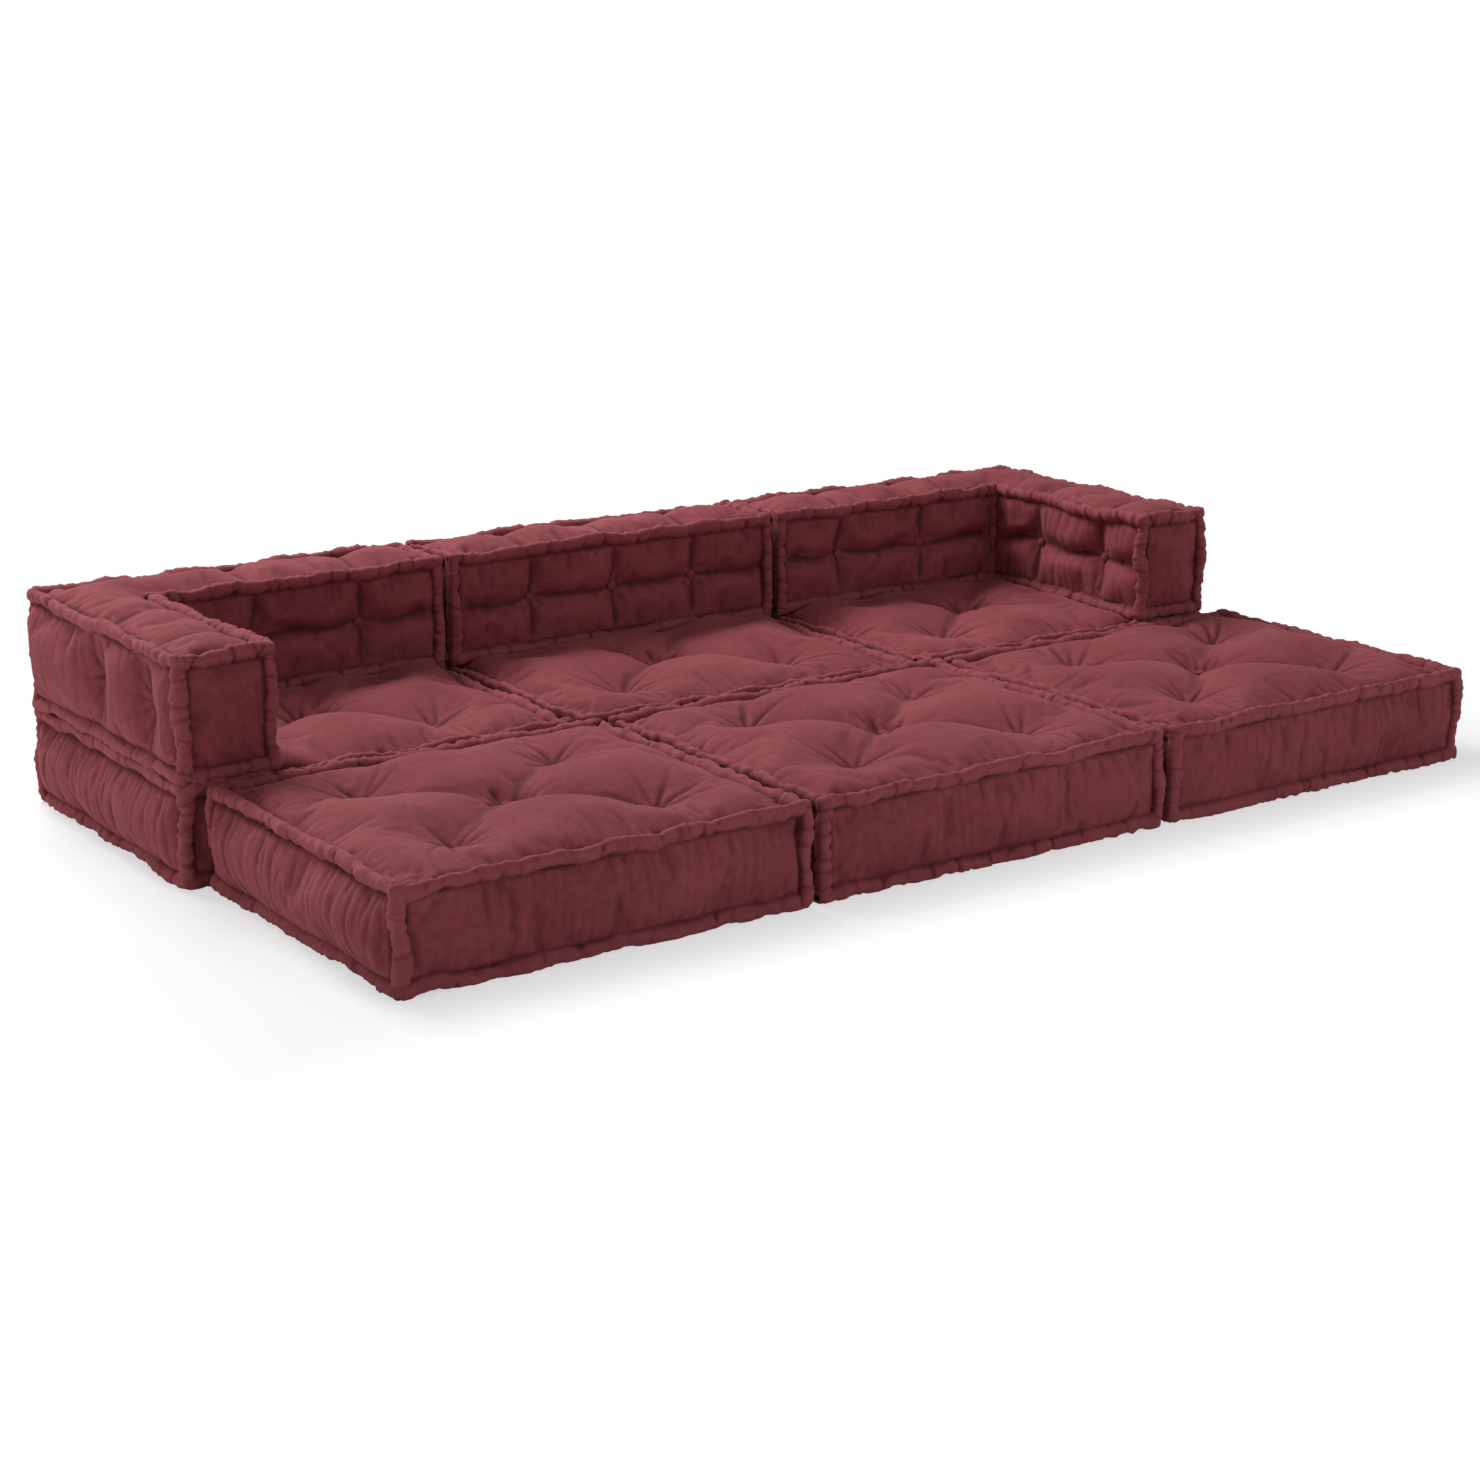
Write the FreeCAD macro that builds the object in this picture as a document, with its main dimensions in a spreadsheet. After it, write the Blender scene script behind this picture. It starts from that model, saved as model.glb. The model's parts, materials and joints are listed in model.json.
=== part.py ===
import FreeCAD, Part
import os
import re

import Sketcher
from FreeCAD import Placement, Rotation, Units, Vector

# Modular floor sofa: six seat pads in two rows of three, a straight back cushion and two L-shaped
# corner back cushions. Every cushion is a sewn cover of canvas panels with rolled edges, a filling,
# and twine ties that pull tuft buttons into it. X runs along the sofa, -Y is the front, Z is up.
# The origin lies on the floor, at the centre of the sofa's outline.

# Driving sizes in millimetres, with what each one measures.
SIZES = {
    "pad_width": (700, "seat pad, side to side over its rolled edges"),
    "pad_depth": (600, "seat pad, front to back over its rolled edges"),
    "pad_height": (165, "floor to the top of a seat pad's rolled edge"),
    "pad_crown": (20, "middle of a seat pad above its rolled edge"),
    "crown_shoulder": (13, "fall of the crown from the middle to its shoulders"),
    "shoulder_inset": (75, "shoulders of the crown, in from the ends of the top panel"),
    "crown_rim": (1, "rise of the crown at the ends of the top panel"),
    "back_height": (200, "back cushion, foot to the top of its rolled edge"),
    "back_thickness": (168, "back cushion, front to back over its rolled edges"),
    "back_crown": (9, "middle of a back cushion's top above its rolled edge"),
    "roll_diameter": (26, "rolled edge"),
    "roll_end_round": (8, "rounding of a corner roll's ends"),
    "seam_inset": (16, "seams of a side panel, in from the outside of the rolls"),
    "side_bulge": (13, "swell of a side panel between its seams"),
    "panel_thickness": (2, "canvas panel with its wadding backing"),
    "fit_gap": (0.6, "clearance between neighbouring pieces of a cushion"),
    "filling_gap": (0.9, "clearance between a panel and the filling behind it"),
    "rest_gap": (0.5, "clearance under a back cushion"),
    "press_margin": (5, "pressed strip of a seat pad, past the back cushion on it"),
    "rear_spacing": (10, "gap between neighbouring seat pads in the rear row"),
    "front_spacing": (14, "gap between neighbouring seat pads in the front row"),
    "row_spacing": (6, "gap between the two rows"),
    "front_row_shift": (40, "front row, to the right of the rear row"),
    "pad_tuft_side": (180, "outer tufts of a seat pad, in from its sides"),
    "pad_tuft_front": (155, "outer tufts of a seat pad, in from its front and back"),
    "pad_tuft_reach": (85, "radius of a seat pad's tuft hollow"),
    "pad_tuft_depth": (30, "depth of a seat pad's tuft hollow"),
    "outer_tuft_drop": (17, "seat of an outer tuft, below the rolled edge"),
    "centre_tuft_drop": (6, "seat of the middle tuft, below the rolled edge"),
    "foot_tuft_reach": (45, "radius of a tuft hollow in a seat pad's underside"),
    "foot_tuft_depth": (12, "depth of a tuft hollow in a seat pad's underside"),
    "back_tuft_pitch": (175, "spacing of the tufts of the straight back cushion"),
    "back_tuft_reach": (62, "radius of a back cushion's tuft hollow"),
    "back_tuft_depth": (22, "depth of a back cushion's tuft hollow"),
    "channel_radius": (30, "round of the channels that run out from a back cushion's tufts"),
    "channel_depth": (7, "depth of those channels"),
    "leg_tuft_near": (160, "first tuft of a corner's back leg, in from its free end"),
    "leg_tuft_far": (360, "second tuft of a corner's back leg, in from its free end"),
    "arm_tuft_near": (130, "first tuft of a corner's arm, in from its front end"),
    "arm_tuft_far": (315, "second tuft of a corner's arm, in from its front end"),
    "button_diameter": (18, "tuft button"),
    "button_rim": (2, "height of a tuft button's rim"),
    "button_height": (5, "height of a tuft button's dome"),
    "tie_diameter": (4, "twine tie through a tuft"),
}

doc = FreeCAD.newDocument("ModularSofa")
sheet = doc.addObject("Spreadsheet::Sheet", "Sizes")
for row, (alias, (value, meaning)) in enumerate(SIZES.items(), start=1):
    sheet.set(f"A{row}", meaning)
    sheet.set(f"B{row}", str(value))
    sheet.setAlias(f"B{row}", alias)
doc.recompute()

AXIS_X, AXIS_Y, AXIS_Z = Vector(1, 0, 0), Vector(0, 1, 0), Vector(0, 0, 1)
PLANES = {
    "XZ": Rotation(AXIS_X, 90),
    "YZ": Rotation(AXIS_Y, AXIS_Z, AXIS_X),
}
SAME_POINT = 1e-6


def sized(expression):
    """Writes the sheet's name before each of its aliases in an expression."""
    def named(word):
        return "Sizes." + word.group() if word.group() in SIZES else word.group()
    return re.sub(r"[a-z_]+", named, expression)


def measure(expression):
    """The number that an expression in the sheet's words comes to."""
    def counted(word):
        return str(SIZES[word.group()][0]) if word.group() in SIZES else word.group()
    return Units.Quantity(re.sub(r"[a-z_]+", counted, expression)).Value


def bind(item, **properties):
    """Ties properties of an object to the sheet."""
    for name, expression in properties.items():
        item.setExpression(name, sized(expression))


def place(item, x="0", y="0", z="0", turn=Rotation()):
    """Turns an object and ties its place to the sheet."""
    item.Placement = Placement(Vector(), turn)
    for axis, expression in zip("xyz", (x, y, z)):
        item.setExpression(f".Placement.Base.{axis}", sized(expression))
    return item


# Sketches

def pin(sketch, kind, edge, end, expression):
    """Ties one coordinate of an edge's end to the sheet."""
    if expression == "0":
        axis = -2 if kind == "DistanceX" else -1
        sketch.addConstraint(Sketcher.Constraint("PointOnObject", edge, end, axis))
        return
    value = measure(expression)
    if value > 0:
        constraint = Sketcher.Constraint(kind, -1, 1, edge, end, value)
    else:
        constraint = Sketcher.Constraint(kind, edge, end, -1, 1, -value)
        expression = f"-({expression})"
    tie(sketch, sketch.addConstraint(constraint), f"{kind}_{edge}", expression)


def tie(sketch, constraint, name, expression):
    """Names a constraint and binds it to the sheet."""
    sketch.renameConstraint(constraint, name)
    sketch.setExpression(f"Constraints.{name}", sized(expression))


def crest(start, finish, radius, side):
    """The middle point of an arc that swells out of, or into, an outline drawn anticlockwise."""
    chord = finish - start
    outward = Vector(chord.y, -chord.x, 0).normalize()
    sag = radius - (radius ** 2 - chord.Length ** 2 / 4) ** 0.5
    return (start + finish) * 0.5 + outward * (sag if side == "out" else -sag)


def outline(sketch, corners, arcs=None):
    """Draws a closed outline through corners; arcs gives some edges a radius and a side."""
    arcs = arcs or {}
    points = [Vector(measure(x), measure(y), 0) for x, y in corners]
    ends = []
    for number, start in enumerate(points):
        finish = points[(number + 1) % len(points)]
        edge = Part.LineSegment(start, finish)
        if number in arcs:
            radius, side = arcs[number]
            edge = Part.Arc(start, crest(start, finish, measure(radius), side), finish)
        sketch.addGeometry(edge)
        begins = sketch.getPoint(number, 1).distanceToPoint(start) < SAME_POINT
        ends.append((1, 2) if begins else (2, 1))
    for number in range(len(points)):
        following = (number + 1) % len(points)
        joint = Sketcher.Constraint("Coincident", number, ends[number][1], following, ends[following][0])
        sketch.addConstraint(joint)
    for number, (x, y) in enumerate(corners):
        pin(sketch, "DistanceX", number, ends[number][0], x)
        pin(sketch, "DistanceY", number, ends[number][0], y)
    for number, (radius, side) in arcs.items():
        constraint = sketch.addConstraint(Sketcher.Constraint("Radius", number, measure(radius)))
        tie(sketch, constraint, f"Radius_{number}", radius)
    return sketch


def profile(name, plane, corners, arcs=None):
    """A closed outline on one of the main planes."""
    sketch = doc.addObject("Sketcher::SketchObject", name)
    sketch.Placement = Placement(Vector(), PLANES[plane])
    return outline(sketch, corners, arcs)


def body_sketch(body, name, role):
    """An empty sketch on one of a body's own origin planes."""
    sketch = body.newObject("Sketcher::SketchObject", name)
    planes = [plane for plane in body.Origin.OriginFeatures if plane.Role == role]
    sketch.AttachmentSupport = [(planes[0], "")]
    sketch.MapMode = "FlatFace"
    return sketch


# Solids

def extruded(name, sketch, length):
    """A profile drawn out evenly to both sides of its plane."""
    solid = doc.addObject("Part::Extrusion", name)
    solid.Base = sketch
    solid.DirMode = "Normal"
    solid.Symmetric = True
    solid.Solid = True
    bind(solid, LengthFwd=length)
    return solid


def turned(name, sketch):
    """A profile turned about the upright axis."""
    solid = doc.addObject("Part::Revolution", name)
    solid.Source = sketch
    solid.Axis = AXIS_Z
    solid.Angle = 360
    solid.Solid = True
    return solid


def box(name, length, width, height, x, y, z):
    """A box with its lowest corner at x, y, z."""
    solid = doc.addObject("Part::Box", name)
    bind(solid, Length=length, Width=width, Height=height)
    return place(solid, x, y, z)


def copy(master, name, x="0", y="0", z="0", turn=Rotation()):
    """A linked copy of an object at another place."""
    link = doc.addObject("App::Link", name)
    link.LinkedObject = master
    link.LinkTransform = True
    return place(link, x, y, z, turn)


def group(name, items):
    """Separate solids that share one node."""
    compound = doc.addObject("Part::Compound", name)
    compound.Links = items
    return compound


def fused(name, items):
    """One solid of several."""
    if len(items) == 1:
        return items[0]
    solid = doc.addObject("Part::MultiFuse", name)
    solid.Shapes = items
    return solid


def shared(name, first, second):
    """The space that two solids share."""
    solid = doc.addObject("Part::Common", name)
    solid.Base = first
    solid.Tool = second
    return solid


def cut(name, base, tools):
    """A solid with others taken out of it."""
    solid = doc.addObject("Part::Cut", name)
    solid.Base = base
    solid.Tool = tools[0] if len(tools) == 1 else group(f"{name}_tools", tools)
    return solid


def mirrored(master):
    """A right-hand copy of a left-hand piece."""
    solid = doc.addObject("Part::Mirroring", f"right_{master.Name}")
    solid.Source = master
    solid.Base = Vector()
    solid.Normal = AXIS_X
    return solid


def sheet_of(name, form, x="0", y="0", z="0"):
    """A canvas panel: a form less the same form set back by the panel's thickness."""
    return cut(name, form, [copy(form, f"{name}_lining", x, y, z)])


# Edges of a cushion: the direction that a side faces, the place along it and the place of the face.
FRONT, RIGHT, BACK, LEFT = 0, 90, 180, 270


def beside(facing, along, face, inward):
    """The place of a point, inward from the middle of a side."""
    return {
        FRONT: (along, f"({face}) + ({inward})"),
        BACK: (along, f"({face}) - ({inward})"),
        LEFT: (f"({face}) + ({inward})", along),
        RIGHT: (f"({face}) - ({inward})", along),
    }[facing]


RADIUS = "roll_diameter/2"
SEAM = "(roll_diameter + fit_gap)"
PAD_X, PAD_Y = "pad_width/2", "pad_depth/2"
PAST = "2*pad_width"

# Lengths of the straight rolled edges and side panels, between the corner rolls at their ends.
SPANS = {
    "width": "pad_width - 2*roll_diameter - 2*fit_gap",
    "depth": "pad_depth - 2*roll_diameter - 2*fit_gap",
    "thickness": "back_thickness - 2*roll_diameter - 2*fit_gap",
    "leg": "pad_width - back_thickness - roll_diameter - 2*fit_gap",
    "arm": "pad_depth - back_thickness - roll_diameter - 2*fit_gap",
}

# Sides of each kind of cushion: facing, place along the side, place of the face, span.
PAD_SIDES = [
    (FRONT, "0", f"-{PAD_Y}", "width"),
    (RIGHT, "0", PAD_X, "depth"),
    (BACK, "0", PAD_Y, "width"),
    (LEFT, "0", f"-{PAD_X}", "depth"),
]
BACK_MIDDLE = "(pad_depth/2 - back_thickness/2)"
BACK_FACE = "(pad_depth/2 - back_thickness)"
ARM_MIDDLE = "(back_thickness/2 - pad_width/2)"
ARM_FACE = "(back_thickness - pad_width/2)"
BACK_SIDES = [
    (FRONT, "0", BACK_FACE, "width"),
    (RIGHT, BACK_MIDDLE, PAD_X, "thickness"),
    (BACK, "0", PAD_Y, "width"),
    (LEFT, BACK_MIDDLE, f"-{PAD_X}", "thickness"),
]
CORNER_SIDES = [
    (FRONT, ARM_MIDDLE, f"-{PAD_Y}", "thickness"),
    (RIGHT, "(roll_diameter - back_thickness)/2", ARM_FACE, "arm"),
    (FRONT, "(back_thickness - roll_diameter)/2", BACK_FACE, "leg"),
    (RIGHT, BACK_MIDDLE, PAD_X, "thickness"),
    (BACK, "0", PAD_Y, "width"),
    (LEFT, "0", f"-{PAD_X}", "depth"),
]

# Axes of the corner rolls.
IN_LEFT, IN_RIGHT = f"({RADIUS} - {PAD_X})", f"({PAD_X} - {RADIUS})"
IN_FRONT, IN_BACK = f"({RADIUS} - {PAD_Y})", f"({PAD_Y} - {RADIUS})"
ON_BACK_FACE = f"({BACK_FACE} + {RADIUS})"
ON_ARM_FACE = f"({ARM_FACE} - {RADIUS})"
PAD_CORNERS = [(IN_LEFT, IN_FRONT), (IN_RIGHT, IN_FRONT), (IN_RIGHT, IN_BACK), (IN_LEFT, IN_BACK)]
BACK_CORNERS = [
    (IN_LEFT, ON_BACK_FACE),
    (IN_RIGHT, ON_BACK_FACE),
    (IN_RIGHT, IN_BACK),
    (IN_LEFT, IN_BACK),
]
CORNER_CORNERS = [
    (IN_LEFT, IN_FRONT),
    (ON_ARM_FACE, IN_FRONT),
    (ON_ARM_FACE, ON_BACK_FACE),
    (IN_RIGHT, ON_BACK_FACE),
    (IN_RIGHT, IN_BACK),
    (IN_LEFT, IN_BACK),
]


# Rolled edges: straight rolls along the top and bottom seams, upright rolls at the corners.

def straight_runs(name, radius):
    """A round bar for each span, lying along X about its own middle."""
    bars = {}
    for span, length in SPANS.items():
        bar = doc.addObject("Part::Cylinder", f"{span}_{name}")
        bind(bar, Radius=radius, Height=length)
        bars[span] = place(bar, x=f"-({length})/2", turn=Rotation(AXIS_Y, 90))
    return bars


def upright_roll(name, height):
    """A corner roll with rounded ends."""
    body = doc.addObject("PartDesign::Body", name)
    sketch = body_sketch(body, f"{name}_circle", "XY_Plane")
    sketch.addGeometry(Part.Circle(Vector(), AXIS_Z, measure(RADIUS)))
    sketch.addConstraint(Sketcher.Constraint("Coincident", 0, 3, -1, 1))
    constraint = sketch.addConstraint(Sketcher.Constraint("Radius", 0, measure(RADIUS)))
    tie(sketch, constraint, "Radius_0", RADIUS)
    pad = body.newObject("PartDesign::Pad", f"{name}_length")
    pad.Profile = sketch
    bind(pad, Length=height)
    doc.recompute()
    fillet = body.newObject("PartDesign::Fillet", f"{name}_ends")
    fillet.Base = (pad, [f"Edge{number + 1}" for number, edge in enumerate(pad.Shape.Edges)
                         if isinstance(edge.Curve, Part.Circle)])
    bind(fillet, Radius="roll_end_round")
    return body


def rolled_edges(name, sides, corners, height):
    """All the rolls of one cushion."""
    upright = upright_roll(f"{name}_upright_roll", height)
    rolls = [copy(upright, f"{name}_corner_roll", x, y) for x, y in corners]
    for facing, along, face, span in sides:
        x, y = beside(facing, along, face, RADIUS)
        for level in (RADIUS, f"{height} - {RADIUS}"):
            turn = Rotation(AXIS_Z, facing)
            rolls.append(copy(STRAIGHT_ROLLS[span], f"{name}_{span}_edge", x, y, level, turn))
    return group(f"{name}_edge_rolls", rolls)


# Tufts: a hollow with a button at its foot, at each end of a tie.

RIM_OF_SEAT = "button_diameter/2 + fit_gap"
UP, DOWN = Rotation(), Rotation(AXIS_X, 180)
OUTWARD = {
    FRONT: Rotation(AXIS_X, 90),
    BACK: Rotation(AXIS_X, -90),
    LEFT: Rotation(AXIS_Y, -90),
    RIGHT: Rotation(AXIS_Y, 90),
}
BEHIND = {FRONT: BACK, LEFT: RIGHT}
# Height of a cutting form over the depth that it cuts.
CLEAR = 3


def hollow(name, reach, depth):
    """The space of a tuft hollow above its flat seat, rounding over into the cushion's face."""
    seat = f"({RIM_OF_SEAT})"
    across = f"({reach} - {seat})"
    top = f"{CLEAR}*{depth}"
    corners = [("0", "0"), (seat, "0"), (reach, depth), (reach, top), ("0", top)]
    round_over = f"({across}^2 + {depth}^2)/(2*{depth})"
    return turned(name, profile(f"{name}_profile", "XZ", corners, {1: (round_over, "in")}))


def tuft_button():
    """A covered button, flat below and domed above."""
    body = doc.addObject("PartDesign::Body", "tuft_button")
    rim, top, edge = "button_rim", "button_height", "button_diameter/2"
    corners = [("0", "0"), (edge, "0"), (edge, rim), ("0", top)]
    dome = f"(({edge})^2 + ({top} - {rim})^2)/(2*({top} - {rim}))"
    sketch = outline(body_sketch(body, "button_profile", "XZ_Plane"), corners, {2: (dome, "out")})
    turn = body.newObject("PartDesign::Revolution", "button_turn")
    turn.Profile = sketch
    turn.ReferenceAxis = (sketch, ["V_Axis"])
    turn.Angle = 360
    return body


def tie_rod(name, start, finish, radius="tie_diameter/2", **at):
    """A length of twine from start to finish along the direction that it is turned to."""
    rod = doc.addObject("Part::Cylinder", name)
    bind(rod, Radius=radius, Height=f"({finish}) - ({start})")
    return place(rod, **at)


def channel(name, turn, x="0", y="0", z="0"):
    """The space of a long channel, about its middle, along the direction that it is turned to."""
    solid = doc.addObject("Part::Cylinder", name)
    bind(solid, Radius="channel_radius", Height=PAST)
    solid.Placement = Placement(Vector(), turn)
    middle = turn.multVec(Vector(0, 0, -1))
    for axis, expression, part in zip("xyz", (x, y, z), middle):
        whole = f"{expression} + {round(part)}*pad_width"
        solid.setExpression(f".Placement.Base.{axis}", sized(whole))
    return solid


STRAIGHT_ROLLS = straight_runs("roll", RADIUS)
LEVEL_CHANNELS = straight_runs("channel", "channel_radius")
BUTTON = tuft_button()
PAD_HOLLOW = hollow("pad_hollow", "pad_tuft_reach", "pad_tuft_depth")
FOOT_HOLLOW = hollow("foot_hollow", "foot_tuft_reach", "foot_tuft_depth")
BACK_HOLLOW = hollow("back_hollow", "back_tuft_reach", "back_tuft_depth")

# Tufts of a seat pad, four about a fifth in the middle: place and seat.
TUFT_X, TUFT_Y = f"({PAD_X} - pad_tuft_side)", f"({PAD_Y} - pad_tuft_front)"
OUTER_SEAT, CENTRE_SEAT = "pad_height - outer_tuft_drop", "pad_height - centre_tuft_drop"
PAD_TUFTS = [(f"{x}*{TUFT_X}", f"{y}*{TUFT_Y}", OUTER_SEAT) for x in (-1, 1) for y in (-1, 1)]
PAD_TUFTS.append(("0", "0", CENTRE_SEAT))
FOOT_SEAT = "foot_tuft_depth"

# Tufts of the back cushions, half way up: places along the straight back, a corner's leg and its arm.
BACK_TUFTS = [f"{step}*back_tuft_pitch" for step in (-1, 0, 1)]
LEG_TUFTS = [f"{PAD_X} - leg_tuft_near", f"{PAD_X} - leg_tuft_far"]
ARM_TUFTS = [f"arm_tuft_near - {PAD_Y}", f"arm_tuft_far - {PAD_Y}"]
TUFT_LEVEL = "back_height/2"
TUFT_SEAT = "(seam_inset - side_bulge + back_tuft_depth)"
CHANNEL_LINE = "(seam_inset - side_bulge + channel_depth - channel_radius)"
TOP_CHANNEL = "back_height + back_crown - channel_depth + channel_radius"
ALONG = {"x": Rotation(AXIS_Y, 90), "y": Rotation(AXIS_X, -90), "z": Rotation()}
SET_BACK = "(panel_thickness + filling_gap)"
TIE_HOLE = "tie_diameter/2 + fit_gap"


def pad_tufts():
    """Ties and buttons of a seat pad."""
    pieces = []
    foot = f"{FOOT_SEAT} - fit_gap"
    for x, y, seat in PAD_TUFTS:
        head_level = f"{seat} + fit_gap"
        pieces.append(copy(BUTTON, "pad_button", x, y, head_level, UP))
        pieces.append(copy(BUTTON, "pad_foot_button", x, y, foot, DOWN))
        pieces.append(tie_rod("pad_tie", foot, head_level, x=x, y=y, z=foot))
    return group("pad_tufts", pieces)


def crossing(facing, along, depth):
    """The place at a depth behind a front or left side."""
    return (along, depth) if facing == FRONT else (depth, along)


def level_tuft(name, facing, along, near_face, far_face):
    """A tie and its two buttons through a back cushion, from the facing side to the one behind it."""
    behind = BEHIND[facing]
    near, far = f"{near_face} + {TUFT_SEAT} - fit_gap", f"{far_face} - {TUFT_SEAT} + fit_gap"
    pieces = []
    for side, depth in ((facing, near), (behind, far)):
        x, y = crossing(facing, along, depth)
        pieces.append(copy(BUTTON, f"{name}_button", x, y, TUFT_LEVEL, OUTWARD[side]))
    x, y = crossing(facing, along, near)
    pieces.append(tie_rod(f"{name}_tie", near, far, x=x, y=y, z=TUFT_LEVEL, turn=OUTWARD[behind]))
    return pieces


# Side panels: canvas between the rolls, swelling between its seams.

def swell(height):
    """Radius of a side panel's swell."""
    return f"(({height} - 2*{SEAM})^2/4 + side_bulge^2)/(2*side_bulge)"


def plain_panel(name, height, span):
    """A side panel about the middle of its own side, with its face's outside at Y zero."""
    body = doc.addObject("PartDesign::Body", name)
    low, high = SEAM, f"{height} - {SEAM}"
    inner = "seam_inset + panel_thickness"
    corners = [("seam_inset", low), (inner, low), (inner, high), ("seam_inset", high)]
    arcs = {1: (swell(height), "in"), 3: (swell(height), "out")}
    sketch = outline(body_sketch(body, f"{name}_profile", "YZ_Plane"), corners, arcs)
    pad = body.newObject("PartDesign::Pad", f"{name}_length")
    pad.Profile = sketch
    pad.Midplane = True
    bind(pad, Length=SPANS[span])
    return body


def tufted_panel(name, height, span, places):
    """A side panel drawn in by tufts at places along it."""
    low, high = SEAM, f"{height} - {SEAM}"
    behind = f"seam_inset + {CLEAR}*back_tuft_depth"
    corners = [("seam_inset", low), (behind, low), (behind, high), ("seam_inset", high)]
    sketch = profile(f"{name}_profile", "YZ", corners, {3: (swell(height), "out")})
    slab = extruded(f"{name}_slab", sketch, SPANS[span])
    hollows = [copy(BACK_HOLLOW, f"{name}_hollow", along, TUFT_SEAT, TUFT_LEVEL, OUTWARD[FRONT])
               for along in places]
    channels = [channel(f"{name}_channel", ALONG["z"], along, CHANNEL_LINE) for along in places]
    channels.append(copy(LEVEL_CHANNELS[span], f"{name}_level_channel", y=CHANNEL_LINE, z=TUFT_LEVEL))
    form = cut(f"{name}_form", slab, hollows + channels)
    panel = sheet_of(f"{name}_canvas", form, y="panel_thickness")
    holes = [tie_rod(f"{name}_hole", "0", behind, TIE_HOLE, x=along, z=TUFT_LEVEL, turn=OUTWARD[BACK])
             for along in places]
    return cut(name, panel, holes)


def side_panels(name, sides, height, tufts):
    """The side panels of one cushion; tufts gives the places of each side's tufts."""
    panels = []
    for number, (facing, along, face, span) in enumerate(sides):
        sign = "-1" if facing in (BACK, LEFT) else "1"
        places = [f"{sign}*(({tuft}) - ({along}))" for tuft in tufts.get(number, [])]
        title = f"{name}_panel_{number}"
        panel = tufted_panel(title, height, span, places) if places else plain_panel(title, height, span)
        x, y = beside(facing, along, face, "0")
        panels.append(copy(panel, f"{title}_sewn", x, y, turn=Rotation(AXIS_Z, facing)))
    return group(f"{name}_side_panels", panels)


# Forms shared by panels and fillings

CROWN_DEPTH = "3*roll_diameter"
FILLING_INSET = f"(seam_inset + {SET_BACK})"
# Edge of a bottom panel where it meets the round of the rolls.
FOOT_INSET = f"({RADIUS} + sqrt(({RADIUS})^2 - ({RADIUS} - panel_thickness)^2) + fit_gap)"


def pad_limits(inset):
    """Limits in X and Y of a seat pad, in from its outside."""
    x, y = f"({PAD_X} - {inset})", f"({PAD_Y} - {inset})"
    return f"-{x}", x, f"-{y}", y


def run_limits(inset):
    """Limits in X and Y of a back cushion's run along the back."""
    return f"{inset} - {PAD_X}", f"{PAD_X} - {inset}", f"{BACK_FACE} + {inset}", f"{PAD_Y} - {inset}"


def arm_limits(inset):
    """Limits in X and Y of a corner cushion's arm."""
    return f"{inset} - {PAD_X}", f"{ARM_FACE} - {inset}", f"{inset} - {PAD_Y}", f"{PAD_Y} - {inset}"


def swollen_block(name, limits, height):
    """The middle of a filling: a block whose four sides swell like the panels over them."""
    x_low, x_high, y_low, y_high = limits
    low, high = SEAM, f"{height} - {SEAM}"
    arcs = {1: (swell(height), "out"), 3: (swell(height), "out")}
    across = [(x_low, low), (x_high, low), (x_high, high), (x_low, high)]
    along = [(y_low, low), (y_high, low), (y_high, high), (y_low, high)]
    lengthwise = extruded(f"{name}_across", profile(f"{name}_across_profile", "XZ", across, arcs), PAST)
    crosswise = extruded(f"{name}_along", profile(f"{name}_along_profile", "YZ", along, arcs), PAST)
    return shared(name, lengthwise, crosswise)


def corner_notches(name, corners, height):
    """Room for the corner rolls."""
    room = f"({RADIUS} + fit_gap)"
    return [box(f"{name}_notch", f"2*{room}", f"2*{room}", height, f"{x} - {room}", f"{y} - {room}", "0")
            for x, y in corners]


def slab_between(name, limits, z_low, z_high):
    """A plain slab between limits."""
    x_low, x_high, y_low, y_high = limits
    length, width = f"({x_high}) - ({x_low})", f"({y_high}) - ({y_low})"
    return box(name, length, width, f"({z_high}) - ({z_low})", x_low, y_low, z_low)


def pad_crown():
    """The crowned top of a seat pad, falling from its middle to the rolls all round."""
    half_x, half_y = f"({PAD_X} - {SEAM})", f"({PAD_Y} - {SEAM})"
    base, edge = f"pad_height - {CROWN_DEPTH}", f"pad_height - {RADIUS}"
    top_rise = f"({RADIUS} + pad_crown)"
    shoulder = f"({half_x} - shoulder_inset)"
    stations = [
        (f"-{half_x}", "crown_rim"),
        (f"-{shoulder}", f"({top_rise} - crown_shoulder)"),
        ("0", top_rise),
        (shoulder, f"({top_rise} - crown_shoulder)"),
        (half_x, "crown_rim"),
    ]
    corners = [(f"-{half_y}", base), (half_y, base), (half_y, edge), (f"-{half_y}", edge)]
    sections = []
    for x, rise in stations:
        radius = f"({half_y}^2 + {rise}^2)/(2*{rise})"
        section = profile("crown_section", "YZ", corners, {2: (radius, "out")})
        sections.append(place(section, x=x, turn=PLANES["YZ"]))
    crown = doc.addObject("Part::Loft", "pad_crown")
    crown.Sections = sections
    crown.Solid = True
    return crown


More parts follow.
